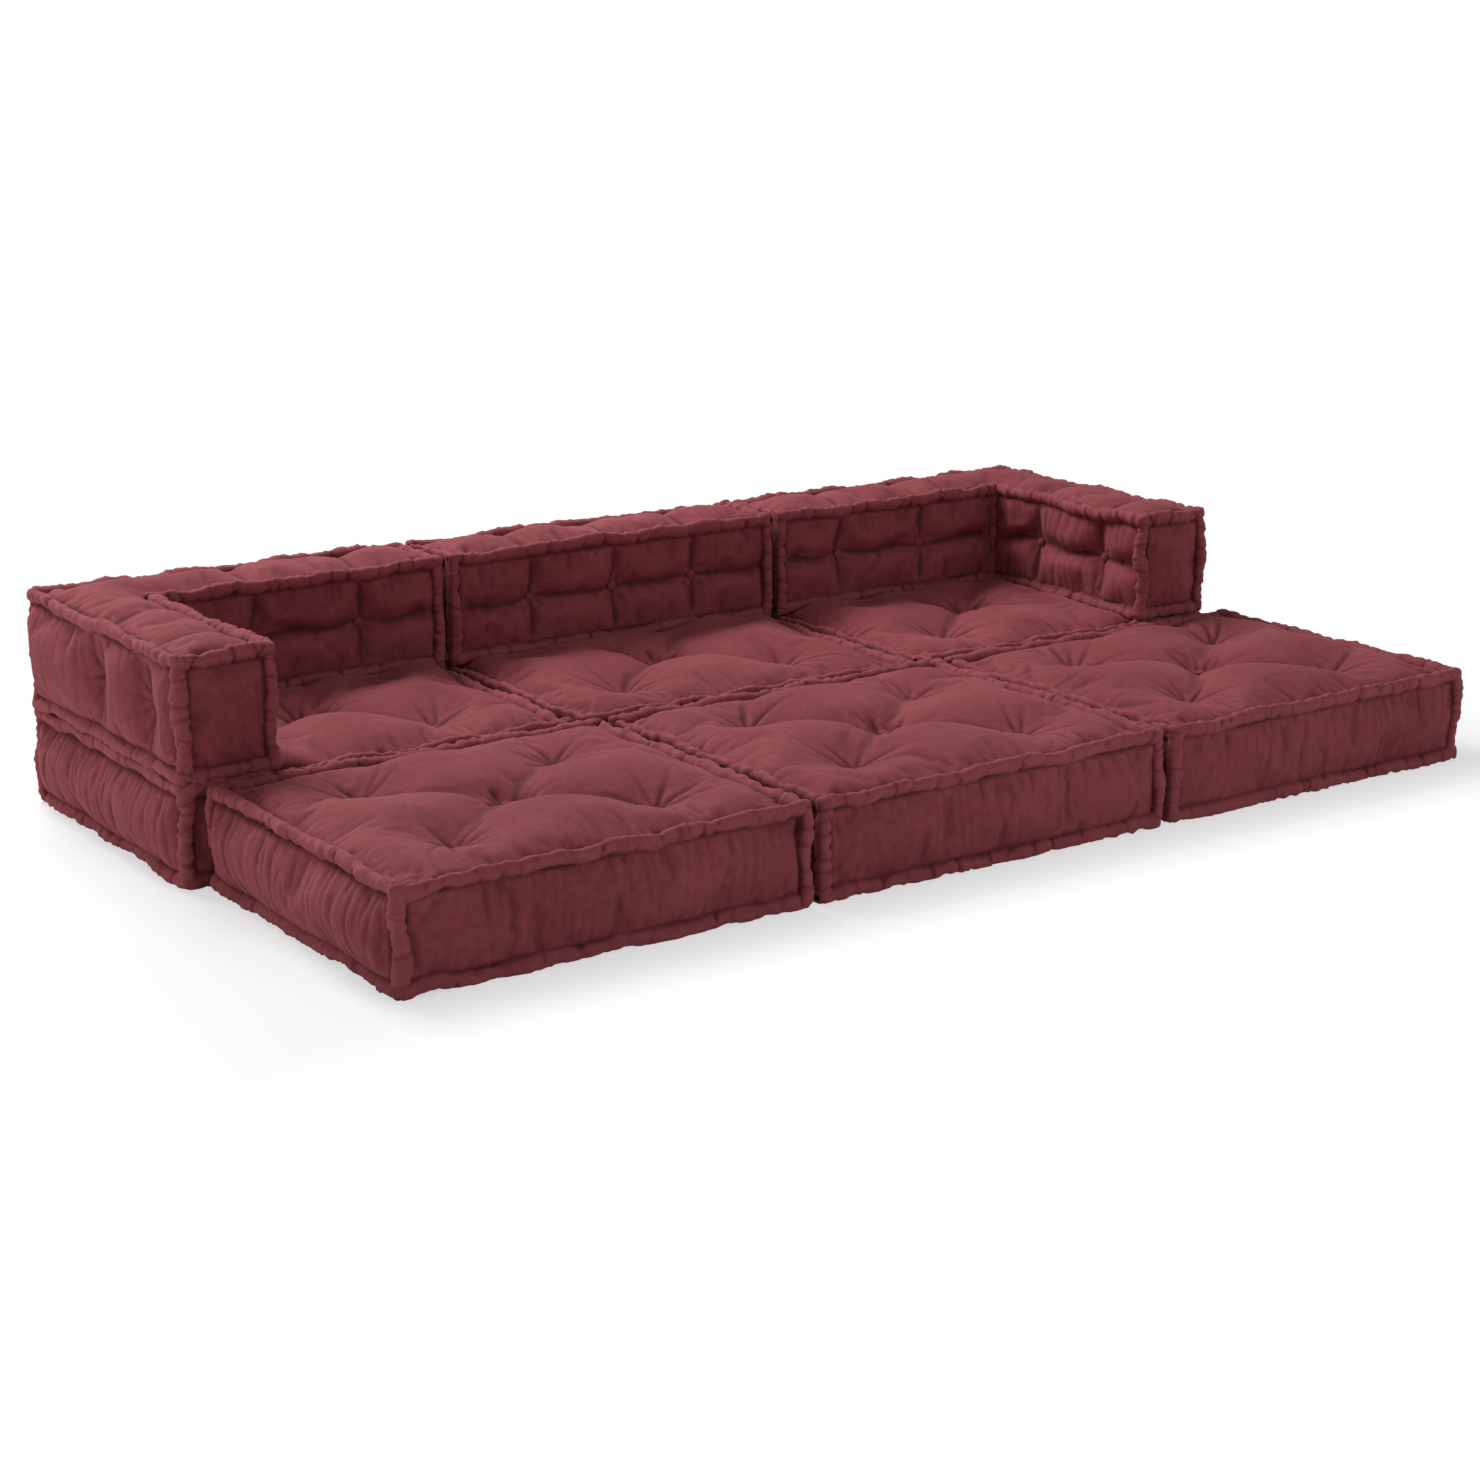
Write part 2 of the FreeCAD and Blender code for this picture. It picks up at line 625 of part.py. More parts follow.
def crowned_bar(name, plane, middle, length):
    """The crowned top of a back cushion's run, square to a plane, about its middle line."""
    half = f"(back_thickness/2 - {SEAM})"
    base, edge = f"back_height - {CROWN_DEPTH}", f"back_height - {RADIUS}"
    rise = f"({RADIUS} + back_crown)"
    low, high = f"{middle} - {half}", f"{middle} + {half}"
    corners = [(low, base), (high, base), (high, edge), (low, edge)]
    radius = f"({half}^2 + {rise}^2)/(2*{rise})"
    return extruded(name, profile(f"{name}_profile", plane, corners, {2: (radius, "out")}), length)


# Seat pads

def press(name, along_back, along_arm):
    """The strips of a rear seat pad's top that the back cushion on it presses flat."""
    rise = f"{CLEAR}*pad_crown"
    level, top = "pad_height", f"pad_height + {rise}"
    strips = []
    if along_back:
        edge = f"({BACK_FACE} - press_margin)"
        corners = [(edge, level), ("pad_depth", level), ("pad_depth", top), (f"{edge} - {rise}", top)]
        strips.append(extruded(f"{name}_back_strip", profile(f"{name}_back_line", "YZ", corners), PAST))
    if along_arm:
        edge = f"({ARM_FACE} + press_margin)"
        corners = [("-pad_width", level), (edge, level), (f"{edge} + {rise}", top), ("-pad_width", top)]
        strips.append(extruded(f"{name}_arm_strip", profile(f"{name}_arm_line", "XZ", corners), PAST))
    return strips


def pad_top(name, crown):
    """The top panel of a seat pad, drawn in by its tufts."""
    hollows = [copy(PAD_HOLLOW, f"{name}_hollow", x, y, seat) for x, y, seat in PAD_TUFTS]
    form = cut(f"{name}_form", crown, hollows)
    canvas = sheet_of(f"{name}_canvas", form, z="-panel_thickness")
    return cut(f"{name}_top_panel", canvas, PAD_TIE_HOLES)


def pad_bottom():
    """The bottom panel of a seat pad, flat on the floor but for its tufts."""
    slab = slab_between("pad_foot_slab", pad_limits(FOOT_INSET), "0", f"{CLEAR}*foot_tuft_depth")
    hollows = [copy(FOOT_HOLLOW, "pad_foot_hollow", tuft_x, tuft_y, FOOT_SEAT, DOWN)
               for tuft_x, tuft_y, seat in PAD_TUFTS]
    form = cut("pad_foot_form", slab, hollows + corner_notches("pad_foot", PAD_CORNERS, "pad_height"))
    canvas = sheet_of("pad_foot_canvas", form, z="panel_thickness")
    return cut("pad_bottom_panel", canvas, PAD_TIE_HOLES)


def pad_filling(name, crown):
    """The filling of a seat pad, under its panels and round its ties."""
    middle = swollen_block(f"{name}_middle", pad_limits(FILLING_INSET), "pad_height")
    middle = cut(f"{name}_notched", middle, corner_notches(name, PAD_CORNERS, "pad_height"))
    foot = slab_between(f"{name}_foot", pad_limits(SEAM), SET_BACK, "pad_height/2")
    top = copy(crown, f"{name}_head", z=f"-{SET_BACK}")
    hollows = []
    for tuft_x, tuft_y, seat in PAD_TUFTS:
        hollows.append(copy(PAD_HOLLOW, f"{name}_hollow", tuft_x, tuft_y, f"{seat} - {SET_BACK}"))
        foot_level = f"{FOOT_SEAT} + {SET_BACK}"
        hollows.append(copy(FOOT_HOLLOW, f"{name}_foot_hollow", tuft_x, tuft_y, foot_level, DOWN))
    whole = fused(f"{name}_whole", [middle, foot, top])
    return cut(f"{name}_filling", whole, hollows + PAD_TIE_HOLES)


PAD_TIE_HOLES = [tie_rod("pad_tie_hole", "0", "pad_height", TIE_HOLE, x=x, y=y)
                 for x, y, seat in PAD_TUFTS]
CROWN = pad_crown()
MIDDLE_CROWN = cut("middle_crown", CROWN, press("middle", along_back=True, along_arm=False))
LEFT_CROWN = cut("left_crown", CROWN, press("left", along_back=True, along_arm=True))

PAD = {
    "edge_rolls": rolled_edges("pad", PAD_SIDES, PAD_CORNERS, "pad_height"),
    "side_panels": side_panels("pad", PAD_SIDES, "pad_height", {}),
    "bottom_panel": pad_bottom(),
    "tufts": pad_tufts(),
    "top_panel": pad_top("pad", CROWN),
    "filling": pad_filling("pad", CROWN),
}
MIDDLE_PAD, LEFT_PAD, RIGHT_PAD = dict(PAD), dict(PAD), dict(PAD)
for name, pieces, crown in (("middle", MIDDLE_PAD, MIDDLE_CROWN), ("left", LEFT_PAD, LEFT_CROWN)):
    pieces["top_panel"] = pad_top(name, crown)
    pieces["filling"] = pad_filling(name, crown)
for piece in ("top_panel", "filling"):
    RIGHT_PAD[piece] = mirrored(LEFT_PAD[piece])


# Back cushions

def crossed(name, plane, middle, span, across, places):
    """A run's crowned top with a channel across it at each of the places."""
    bar = crowned_bar(f"{name}_bar", plane, middle, SPANS[span])
    return cut(name, bar, [channel(f"{name}_channel", ALONG[across], x, y, TOP_CHANNEL) for x, y in places])


def back_cushion(name, sides, corners, run_tufts, arm_tufts, panel_tufts):
    """All the pieces of a straight or corner back cushion; only a corner has tufts on an arm."""
    runs = [run_limits, arm_limits] if arm_tufts else [run_limits]
    places = [(along, "0") for along in run_tufts]
    bars = [crossed(f"{name}_run_top", "YZ", BACK_MIDDLE, "width", "y", places)]
    if arm_tufts:
        places = [("0", along) for along in arm_tufts]
        bars.append(crossed(f"{name}_arm_top", "XZ", ARM_MIDDLE, "depth", "x", places))
    crown = fused(f"{name}_crown", bars)
    slabs = [slab_between(f"{name}_slab", run(FOOT_INSET), "0", "panel_thickness") for run in runs]
    foot = fused(f"{name}_foot", slabs)
    notches = corner_notches(name, corners, "back_height")

    blocks = [swollen_block(f"{name}_block_{number}", run(FILLING_INSET), "back_height")
              for number, run in enumerate(runs)]
    middle = cut(f"{name}_notched", fused(f"{name}_middle", blocks), notches)
    under = [slab_between(f"{name}_under", run(SEAM), SET_BACK, TUFT_LEVEL) for run in runs]
    whole = fused(f"{name}_whole", [middle, copy(crown, f"{name}_head", z=f"-{SET_BACK}")] + under)

    tufts, room = [], []
    depth, line = f"({TUFT_SEAT} + {SET_BACK})", f"({CHANNEL_LINE} + {SET_BACK})"
    for number in panel_tufts:
        facing, along, face, span = sides[number]
        x, y = beside(facing, along, face, line)
        turn = Rotation(AXIS_Z, facing)
        room.append(copy(LEVEL_CHANNELS[span], f"{name}_level_channel", x, y, TUFT_LEVEL, turn))
    lines = [(FRONT, along, BACK_FACE, PAD_Y) for along in run_tufts]
    lines += [(LEFT, along, f"-{PAD_X}", ARM_FACE) for along in arm_tufts]
    for facing, along, near, far in lines:
        tufts += level_tuft(name, facing, along, near, far)
        behind = BEHIND[facing]
        for side, face, sign in ((facing, near, "+"), (behind, far, "-")):
            x, y = crossing(facing, along, f"{face} {sign} {depth}")
            room.append(copy(BACK_HOLLOW, f"{name}_hollow", x, y, TUFT_LEVEL, OUTWARD[side]))
            x, y = crossing(facing, along, f"{face} {sign} {line}")
            room.append(channel(f"{name}_channel", ALONG["z"], x, y))
        x, y = crossing(facing, along, near)
        hole_at = {"x": x, "y": y, "z": TUFT_LEVEL, "turn": OUTWARD[behind]}
        room.append(tie_rod(f"{name}_tie_hole", near, far, TIE_HOLE, **hole_at))
    return {
        "edge_rolls": rolled_edges(name, sides, corners, "back_height"),
        "side_panels": side_panels(name, sides, "back_height", panel_tufts),
        "bottom_panel": cut(f"{name}_bottom_panel", foot, notches),
        "tufts": group(f"{name}_tufts", tufts),
        "top_panel": sheet_of(f"{name}_top_panel", crown, z="-panel_thickness"),
        "filling": cut(f"{name}_filling", whole, room),
    }


BOTH_FACES = {0: BACK_TUFTS, 2: BACK_TUFTS}
STRAIGHT_BACK = back_cushion("back", BACK_SIDES, BACK_CORNERS, BACK_TUFTS, [], BOTH_FACES)
CORNER_TUFTS = {1: ARM_TUFTS, 2: LEG_TUFTS, 4: LEG_TUFTS, 5: ARM_TUFTS}
LEFT_CORNER = back_cushion("corner", CORNER_SIDES, CORNER_CORNERS, LEG_TUFTS, ARM_TUFTS, CORNER_TUFTS)
RIGHT_CORNER = {piece: mirrored(master) for piece, master in LEFT_CORNER.items()}

# The sofa: each cushion's pieces at their places.
CENTRE = "(front_row_shift + front_spacing - rear_spacing)/2"
ROW_Y = "(pad_depth + row_spacing)/2"
BACK_LEVEL = "pad_height + rest_gap"
REAR_X = {side: f"{step}*(pad_width + rear_spacing) - {CENTRE}"
          for side, step in (("left", -1), ("middle", 0), ("right", 1))}
FRONT_X = {side: f"{step}*(pad_width + front_spacing) + front_row_shift - {CENTRE}"
           for side, step in (("left", -1), ("middle", 0), ("right", 1))}
CUSHIONS = [
    ("front_left_pad", PAD, FRONT_X["left"], f"-{ROW_Y}", "0"),
    ("front_middle_pad", PAD, FRONT_X["middle"], f"-{ROW_Y}", "0"),
    ("front_right_pad", PAD, FRONT_X["right"], f"-{ROW_Y}", "0"),
    ("rear_left_pad", LEFT_PAD, REAR_X["left"], ROW_Y, "0"),
    ("rear_middle_pad", MIDDLE_PAD, REAR_X["middle"], ROW_Y, "0"),
    ("rear_right_pad", RIGHT_PAD, REAR_X["right"], ROW_Y, "0"),
    ("left_corner_back", LEFT_CORNER, REAR_X["left"], ROW_Y, BACK_LEVEL),
    ("middle_back", STRAIGHT_BACK, REAR_X["middle"], ROW_Y, BACK_LEVEL),
    ("right_corner_back", RIGHT_CORNER, REAR_X["right"], ROW_Y, BACK_LEVEL),
]
nodes = []
for cushion, pieces, x, y, z in CUSHIONS:
    for piece, master in pieces.items():
        nodes.append(copy(master, f"{cushion}_{piece}", x, y, z))
doc.recompute()

failed = [item.Label for item in doc.Objects if {"Invalid", "Error"} & set(item.State)]
if failed:
    raise RuntimeError(f"not built: {failed}")
os.makedirs("parts", exist_ok=True)
for item in nodes:
    shape = Part.getShape(item)
    if shape.isNull() or not shape.isValid() or not shape.Solids:
        raise RuntimeError(f"{item.Label} is not a valid solid")
    shape.exportStep(f"parts/{item.Label}.step")
    print(f"{item.Label}: {len(shape.Solids)} solids, {shape.Volume / 1e6:.3f} litres")
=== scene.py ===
# %% [markdown]
# # A low modular sofa of tufted mattress cushions
# The sofa is nine loose cushions of dusty burgundy cotton: six seat pads in two rows, a straight back
# cushion and two L-shaped corner cushions. Each one is made like an old-fashioned wool mattress: panels
# of canvas, a fat hand-stitched roll along every seam, and ties that pull buttons deep into the filling.
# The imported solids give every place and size, and this lesson dresses them with soft, creased covers.

import json
import math

import bmesh
import bpy
import numpy as np
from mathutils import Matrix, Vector
from mathutils.kdtree import KDTree

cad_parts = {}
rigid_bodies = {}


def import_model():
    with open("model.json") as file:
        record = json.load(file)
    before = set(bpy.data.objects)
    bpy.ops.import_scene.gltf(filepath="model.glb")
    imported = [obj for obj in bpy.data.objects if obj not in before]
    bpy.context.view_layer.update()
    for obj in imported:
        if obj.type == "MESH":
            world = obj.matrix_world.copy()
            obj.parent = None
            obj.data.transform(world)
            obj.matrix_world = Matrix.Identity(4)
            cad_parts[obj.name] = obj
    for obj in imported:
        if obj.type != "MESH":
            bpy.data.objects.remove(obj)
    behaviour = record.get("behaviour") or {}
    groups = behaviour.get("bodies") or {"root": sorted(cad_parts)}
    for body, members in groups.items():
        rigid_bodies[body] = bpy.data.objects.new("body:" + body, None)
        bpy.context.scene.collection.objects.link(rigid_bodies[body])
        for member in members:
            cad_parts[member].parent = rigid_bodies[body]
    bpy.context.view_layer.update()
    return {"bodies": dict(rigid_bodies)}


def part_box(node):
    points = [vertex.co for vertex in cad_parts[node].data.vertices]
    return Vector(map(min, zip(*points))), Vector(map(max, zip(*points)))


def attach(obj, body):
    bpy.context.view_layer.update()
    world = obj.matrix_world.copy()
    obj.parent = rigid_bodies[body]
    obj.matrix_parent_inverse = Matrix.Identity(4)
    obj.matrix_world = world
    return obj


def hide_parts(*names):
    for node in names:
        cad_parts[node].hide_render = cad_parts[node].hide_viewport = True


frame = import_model()
MM = 0.001

# %% [markdown]
# The camera comes first, because everything else is judged through it. The photograph looks down a
# little from the front left with a long lens, so the sofa's far end shrinks only slightly. Its place was
# worked out from the corners of the cushions: an angle, a height, a distance and the point it looks at.

# %% Camera
CAMERA_AZIMUTH = -35.12
CAMERA_ELEVATION = 15.25
CAMERA_DISTANCE = 4.251
CAMERA_LENS = 67.30
CAMERA_TARGET = Vector((-0.332, -0.391, 0.210))


def select_only(*pieces):
    """Selects these pieces and nothing else; the first becomes the active one."""
    bpy.ops.object.select_all(action="DESELECT")
    for piece in pieces:
        piece.select_set(True)
        bpy.context.view_layer.objects.active = pieces[0]


azimuth, elevation = math.radians(CAMERA_AZIMUTH), math.radians(CAMERA_ELEVATION)
towards_camera = Vector((
    math.sin(azimuth) * math.cos(elevation),
    -math.cos(azimuth) * math.cos(elevation),
    math.sin(elevation),
))
select_only()
bpy.ops.object.camera_add(location=CAMERA_TARGET + towards_camera * CAMERA_DISTANCE)
camera = bpy.context.object
camera.rotation_euler = towards_camera.to_track_quat("Z", "Y").to_euler()
camera.data.lens = CAMERA_LENS
bpy.context.scene.camera = camera
print("camera at", [round(value, 2) for value in camera.location])

# %% [markdown]
# The sizes of the cushions are read from the solids of their rolled edges. Every kind of cushion is
# modelled once about its own seat pad's middle, with its foot at zero, and copied to its places later.

# %% Sizes
SEAM_INSET = 13 * MM


def span_of(node):
    """The lowest corner and the size of a solid."""
    low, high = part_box(node)
    return np.array(low), np.array(high) - np.array(low)


PAD_X, PAD_Y, PAD_Z = span_of("front_left_pad_edge_rolls")[1]
BACK_Y, BACK_Z = span_of("middle_back_edge_rolls")[1][1:]
HALF_X, HALF_Y = PAD_X / 2 - SEAM_INSET, PAD_Y / 2 - SEAM_INSET
RUN_FACE = PAD_Y / 2 - BACK_Y + SEAM_INSET
ARM_FACE = BACK_Y - PAD_X / 2 - SEAM_INSET
print("pad", round(PAD_X, 3), round(PAD_Y, 3), round(PAD_Z, 3), "back", round(BACK_Y, 3), round(BACK_Z, 3))

# %% [markdown]
# A cushion starts as a block of its size, cut into small square cells by subdividing its edges one
# direction at a time. Even cells matter here: cloth folds look natural only if the net is regular.

# %% Cutting a block into cells
CELL = 8 * MM
STRAIGHT = 1e-6
SAME_LENGTH = 1e-5


def run_of(edge, axis):
    """Whether an edge runs along an axis, and its length."""
    run = edge.verts[1].co - edge.verts[0].co
    return abs(abs(run[axis]) - run.length) < STRAIGHT, run.length


def select_edges(net, axis, length):
    """Selects the edges of one length that run along an axis."""
    for edge in net.edges:
        along, edge_length = run_of(edge, axis)
        edge.select_set(bool(along and abs(edge_length - length) < SAME_LENGTH))


def lengths_along(net, axis):
    """The different lengths of the edges along an axis."""
    runs = [run_of(edge, axis) for edge in net.edges]
    return sorted({round(length, 5) for along, length in runs if along})


def cut_into_cells(block):
    """Divides a block's edges until its faces are squares of about one cell."""
    bpy.ops.object.mode_set(mode="EDIT")
    bpy.ops.mesh.select_mode(type="EDGE")
    for axis in range(3):
        for length in lengths_along(bmesh.from_edit_mesh(block.data), axis):
            cuts = round(length / CELL) - 1
            if cuts > 0:
                select_edges(bmesh.from_edit_mesh(block.data), axis, length)
                bmesh.update_edit_mesh(block.data)
                bpy.ops.mesh.subdivide(number_cuts=cuts)
    bpy.ops.object.mode_set(mode="OBJECT")


print("a pad's long side has", round(2 * HALF_X / CELL), "cells")

# %% [markdown]
# There are three blocks. The pad's block reaches from seam to seam. The straight back stands along the
# rear of the pad under it. The L of a corner is that same back, cut across where its arm begins, with the
# arm extruded forward, so that the net runs on round the bend.

# %% Blocks for the three kinds of cushion
def block_between(low, high):
    """A plain block between two corners."""
    low, high = Vector(low), Vector(high)
    select_only()
    bpy.ops.mesh.primitive_cube_add(size=1, location=(low + high) / 2)
    block = bpy.context.object
    block.scale = high - low
    bpy.ops.object.transform_apply(location=True, rotation=True, scale=True)
    return block


def pad_block():
    return block_between((-HALF_X, -HALF_Y, SEAM_INSET), (HALF_X, HALF_Y, PAD_Z - SEAM_INSET))


def back_block():
    return block_between((-HALF_X, RUN_FACE, SEAM_INSET), (HALF_X, HALF_Y, BACK_Z - SEAM_INSET))


def corner_block():
    """The L: the run along the back, with an arm drawn forward from its left end."""
    block = back_block()
    bpy.ops.object.mode_set(mode="EDIT")
    bpy.ops.mesh.select_all(action="SELECT")
    bpy.ops.mesh.bisect(plane_co=(ARM_FACE, 0, 0), plane_no=(1, 0, 0))
    bpy.ops.mesh.select_mode(type="FACE")
    for face in bmesh.from_edit_mesh(block.data).faces:
        faces_front = face.normal.y < -0.9
        face.select_set(bool(faces_front and face.calc_center_median().x < ARM_FACE))
    bmesh.update_edit_mesh(block.data)
    bpy.ops.mesh.extrude_region_move(TRANSFORM_OT_translate={"value": (0, -HALF_Y - RUN_FACE, 0)})
    bpy.ops.object.mode_set(mode="OBJECT")
    return block


print("a corner's arm is drawn forward by", round((HALF_Y + RUN_FACE) / MM), "mm")

# %% [markdown]
# Numbers move faster in arrays than one vertex at a time, so a few helpers read a mesh into an array and
# write it back. Each cover also keeps the flat place of every vertex and the way its panel faces, because
# seams, pleats and buttonholes are laid out on flat cloth before anything swells.

# %% Meshes as arrays
def read(items, what, width, kind=np.float32):
    """One value of each item as the rows of an array."""
    values = np.empty(len(items) * width, kind)
    items.foreach_get(what, values)
    return values.reshape(-1, width)


def points_of(piece):
    return read(piece.data.vertices, "co", 3).astype(float)


def set_points(piece, points):
    piece.data.vertices.foreach_set("co", points.astype(np.float32).ravel())
    piece.data.update()


def keep(piece, name, values):
    """Keeps a number or a vector for each vertex under a name."""
    kind, what = ("FLOAT", "value") if values.ndim == 1 else ("FLOAT_VECTOR", "vector")
    layer = piece.data.attributes.new(name, kind, "POINT")
    layer.data.foreach_set(what, values.astype(np.float32).ravel())


def kept(piece, name):
    """The kept number or vector of each vertex."""
    layer = piece.data.attributes[name]
    if layer.data_type == "FLOAT":
        return read(layer.data, "value", 1)[:, 0].astype(float)
    return read(layer.data, "vector", 3).astype(float)


print("points are kept as", np.float32.__name__, "and worked on as", float.__name__)

# %% [markdown]
# Three measures are needed again and again: which way the panels at a vertex face, where more than one
# panel means a seam; how far a point is from the nearest seam; and a smooth unevenness, made by adding
# waves in all directions, because nothing that is filled by hand is quite regular.

# %% Panels, seams and unevenness
WAVES = 14
WAVE_SPREAD = (0.7, 1.4)


def panel_facings(piece):
    """The sum of the directions that the panels at each vertex face, and how many there are."""
    mesh = piece.data
    normals = read(mesh.polygons, "normal", 3).round()
    corners = read(mesh.loops, "vertex_index", 1, np.int32).reshape(-1, 4)
    facing = np.zeros((len(mesh.vertices), 3))
    count = np.zeros(len(mesh.vertices), int)
    for axis in range(3):
        for sign in (-1, 1):
            seen = np.unique(corners[normals[:, axis] == sign])
            facing[seen, axis] += sign
            count[seen] += 1
    return facing, count


def distance_to(points, targets):
    """The distance from each point to the nearest of the targets."""
    tree = KDTree(len(targets))
    for number, target in enumerate(targets):
        tree.insert(target, number)
    tree.balance()
    return np.array([tree.find(point)[2] for point in points])


def lay_out(cover):
    """Keeps and gives a cover's flat points, their facings and distances to the seams, and the seams."""
    flat = points_of(cover)
    facing, panels = panel_facings(cover)
    seam = panels > 1
    gap = distance_to(flat, flat[seam])
    for name, values in (("flat", flat), ("facing", facing), ("gap", gap)):
        keep(cover, name, values)
    return flat, facing, gap, seam


def uneven(points, wavelength, seed):
    """A smooth unevenness of about plus or minus one, with bumps of about one wavelength."""
    dice = np.random.default_rng(seed)
    total = np.zeros(len(points))
    for wave in range(WAVES):
        direction = dice.normal(size=3)
        direction *= 2 * math.pi * dice.uniform(*WAVE_SPREAD) / (wavelength * np.linalg.norm(direction))
        total += np.sin(points @ direction + dice.uniform(0, 2 * math.pi))
    return total / math.sqrt(WAVES / 2)


print("unevenness along a line:", uneven(np.eye(3), 1.0, 1).round(2))

# %% [markdown]
# A filled cover is a balloon that is sewn down in places. First each panel is given a swell, and
# the tufts are pulled in to their depth. Then Blender's cloth does the rest: the seams, the flat underside
# and the tufts are pinned, the canvas is made a little too large, and a light pressure blows it out, so
# that it buckles into pleats at the seams and folds round the tufts as real canvas does. Gravity is off,
# and no point may move further than a cap.

# %% Filling a cover
TUFT_HOLD = 9 * MM
CANVAS_SLACK = 0.014
CANVAS = {
    "vertex_group_mass": "sewn", "quality": 5, "mass": 0.3,
    "tension_stiffness": 25, "compression_stiffness": 25, "shear_stiffness": 8, "bending_stiffness": 0.4,
    "air_damping": 2, "use_pressure": True, "uniform_pressure_force": 1.0,
    "shrink_min": -CANVAS_SLACK, "shrink_max": -CANVAS_SLACK,
}
FILLING_FRAMES = 20


def arch(distance, reach):
    """From nought at a seam to one at a reach from it, on a round arch."""
    part = np.clip(distance / reach, 0, 1)
    return np.sin(part * math.pi / 2) ** 0.8


def bell(distance, width):
    """One in the middle, falling softly to nought past a width."""
    return np.exp(-(distance / width) ** 2)


def blow_up(cover, sewn, cap):
    """Lets cloth that is too large settle, held where it is sewn, and moved by no more than a cap."""
    start = points_of(cover)
    held = cover.vertex_groups.new(name="sewn")
    held.add([int(number) for number in np.flatnonzero(sewn)], 1.0, "REPLACE")
    bpy.context.scene.frame_set(1)
    select_only(cover)
    bpy.ops.object.modifier_add(type="CLOTH")
    cloth = cover.modifiers[-1]
    for name, value in CANVAS.items():
        setattr(cloth.settings, name, value)
    cloth.settings.effector_weights.gravity = 0
    cloth.collision_settings.use_collision = False
    cloth.collision_settings.use_self_collision = False
    cloth.point_cache.frame_end = FILLING_FRAMES
    for number in range(1, FILLING_FRAMES + 1):
        bpy.context.scene.frame_set(number)
    bpy.ops.object.modifier_apply(modifier=cloth.name)
    bpy.context.scene.frame_set(1)
    moved = points_of(cover) - start
    length = np.linalg.norm(moved, axis=1, keepdims=True)
    set_points(cover, start + moved * np.minimum(1, cap / np.maximum(length, 1e-9)))
    print(cover.name, "moved up to", round(float(length.max()) / MM), "mm")


def fill(cover, shape, sewn, cap):
    """Sets a cover's swollen shape, lets its cloth settle, and doubles the fineness of its net."""
    set_points(cover, shape)
    blow_up(cover, sewn, cap)
    select_only(cover)
    bpy.ops.object.modifier_add(type="SUBSURF")
    cover.modifiers[-1].levels = 1
    cover.modifiers[-1].render_levels = 1
    bpy.ops.object.modifier_apply(modifier=cover.modifiers[-1].name)
    bpy.ops.object.shade_smooth()


print("canvas slack:", CANVAS_SLACK, "and", FILLING_FRAMES, "steps to fill a cover")

# %% [markdown]
# The finest folds are narrower than the cloth's cells, so they are pressed in afterwards. Pleats
# run in from a seam, where the long edge of a panel was gathered into its roll. Puckers are the dents
# beside a roll, where its big stitches pull the canvas down. Rays are the creases that run out from a
# tuft. All three are laid out by dice with a fixed seed, so that they come out alike every time.

# %% Pleats, puckers and rays
PLEAT_STARTS, PLEAT_STEPS = (0.3, 1), (0.4, 1.6)
PLEAT_LENGTHS, PLEAT_LEANS = (0.35, 1.3), (-0.16, 0.16)
PLEAT_WIDTHS_MM, PLEAT_DEPTHS = (3, 6.5), (0.3, 1)
PUCKER_STARTS_MM, PUCKER_STEPS_MM = (20, 50), (38, 70)
PUCKER_MIDDLES_MM, PUCKER_WIDTHS_MM = (7, 12), (6, 10)
PUCKER_REACH, PUCKER_DEPTHS = 9 * MM, (0.4, 1)
RAY_STRAYS, RAY_BENDS = (-0.35, 0.35), (-3, 3)
RAY_LENGTHS, RAY_DEPTHS = (0.45, 1.2), (0.5, 1)
RAY_WIDTH, RAY_FLARE = 3 * MM, 0.045


def pleats(along, inward, reach, spacing, seed):
    """How deep the pleats of one seam are, from the place along it and the distance in from it."""
    dice = np.random.default_rng(seed)
    total = np.zeros(len(along))
    place = along.min() + spacing * dice.uniform(*PLEAT_STARTS)
    while place < along.max():
        length = reach * dice.uniform(*PLEAT_LENGTHS)
        lean, width = dice.uniform(*PLEAT_LEANS), dice.uniform(*PLEAT_WIDTHS_MM) * MM
        fade = np.clip(1 - inward / length, 0, 1) ** 0.8
        total += dice.uniform(*PLEAT_DEPTHS) * fade * bell(along - place - lean * inward, width)
        place += spacing * dice.uniform(*PLEAT_STEPS)
    return total


def puckers(along, inward, seed):
    """How deep the dents beside one roll are."""
    dice = np.random.default_rng(seed)
    total = np.zeros(len(along))
    place = along.min() + dice.uniform(*PUCKER_STARTS_MM) * MM
    while place < along.max() - 10 * MM:
        middle, width = dice.uniform(*PUCKER_MIDDLES_MM) * MM, dice.uniform(*PUCKER_WIDTHS_MM) * MM
        dent = bell(along - place, width) * bell(inward - middle, PUCKER_REACH)
        total += dice.uniform(*PUCKER_DEPTHS) * dent
        place += dice.uniform(*PUCKER_STEPS_MM) * MM
    return total


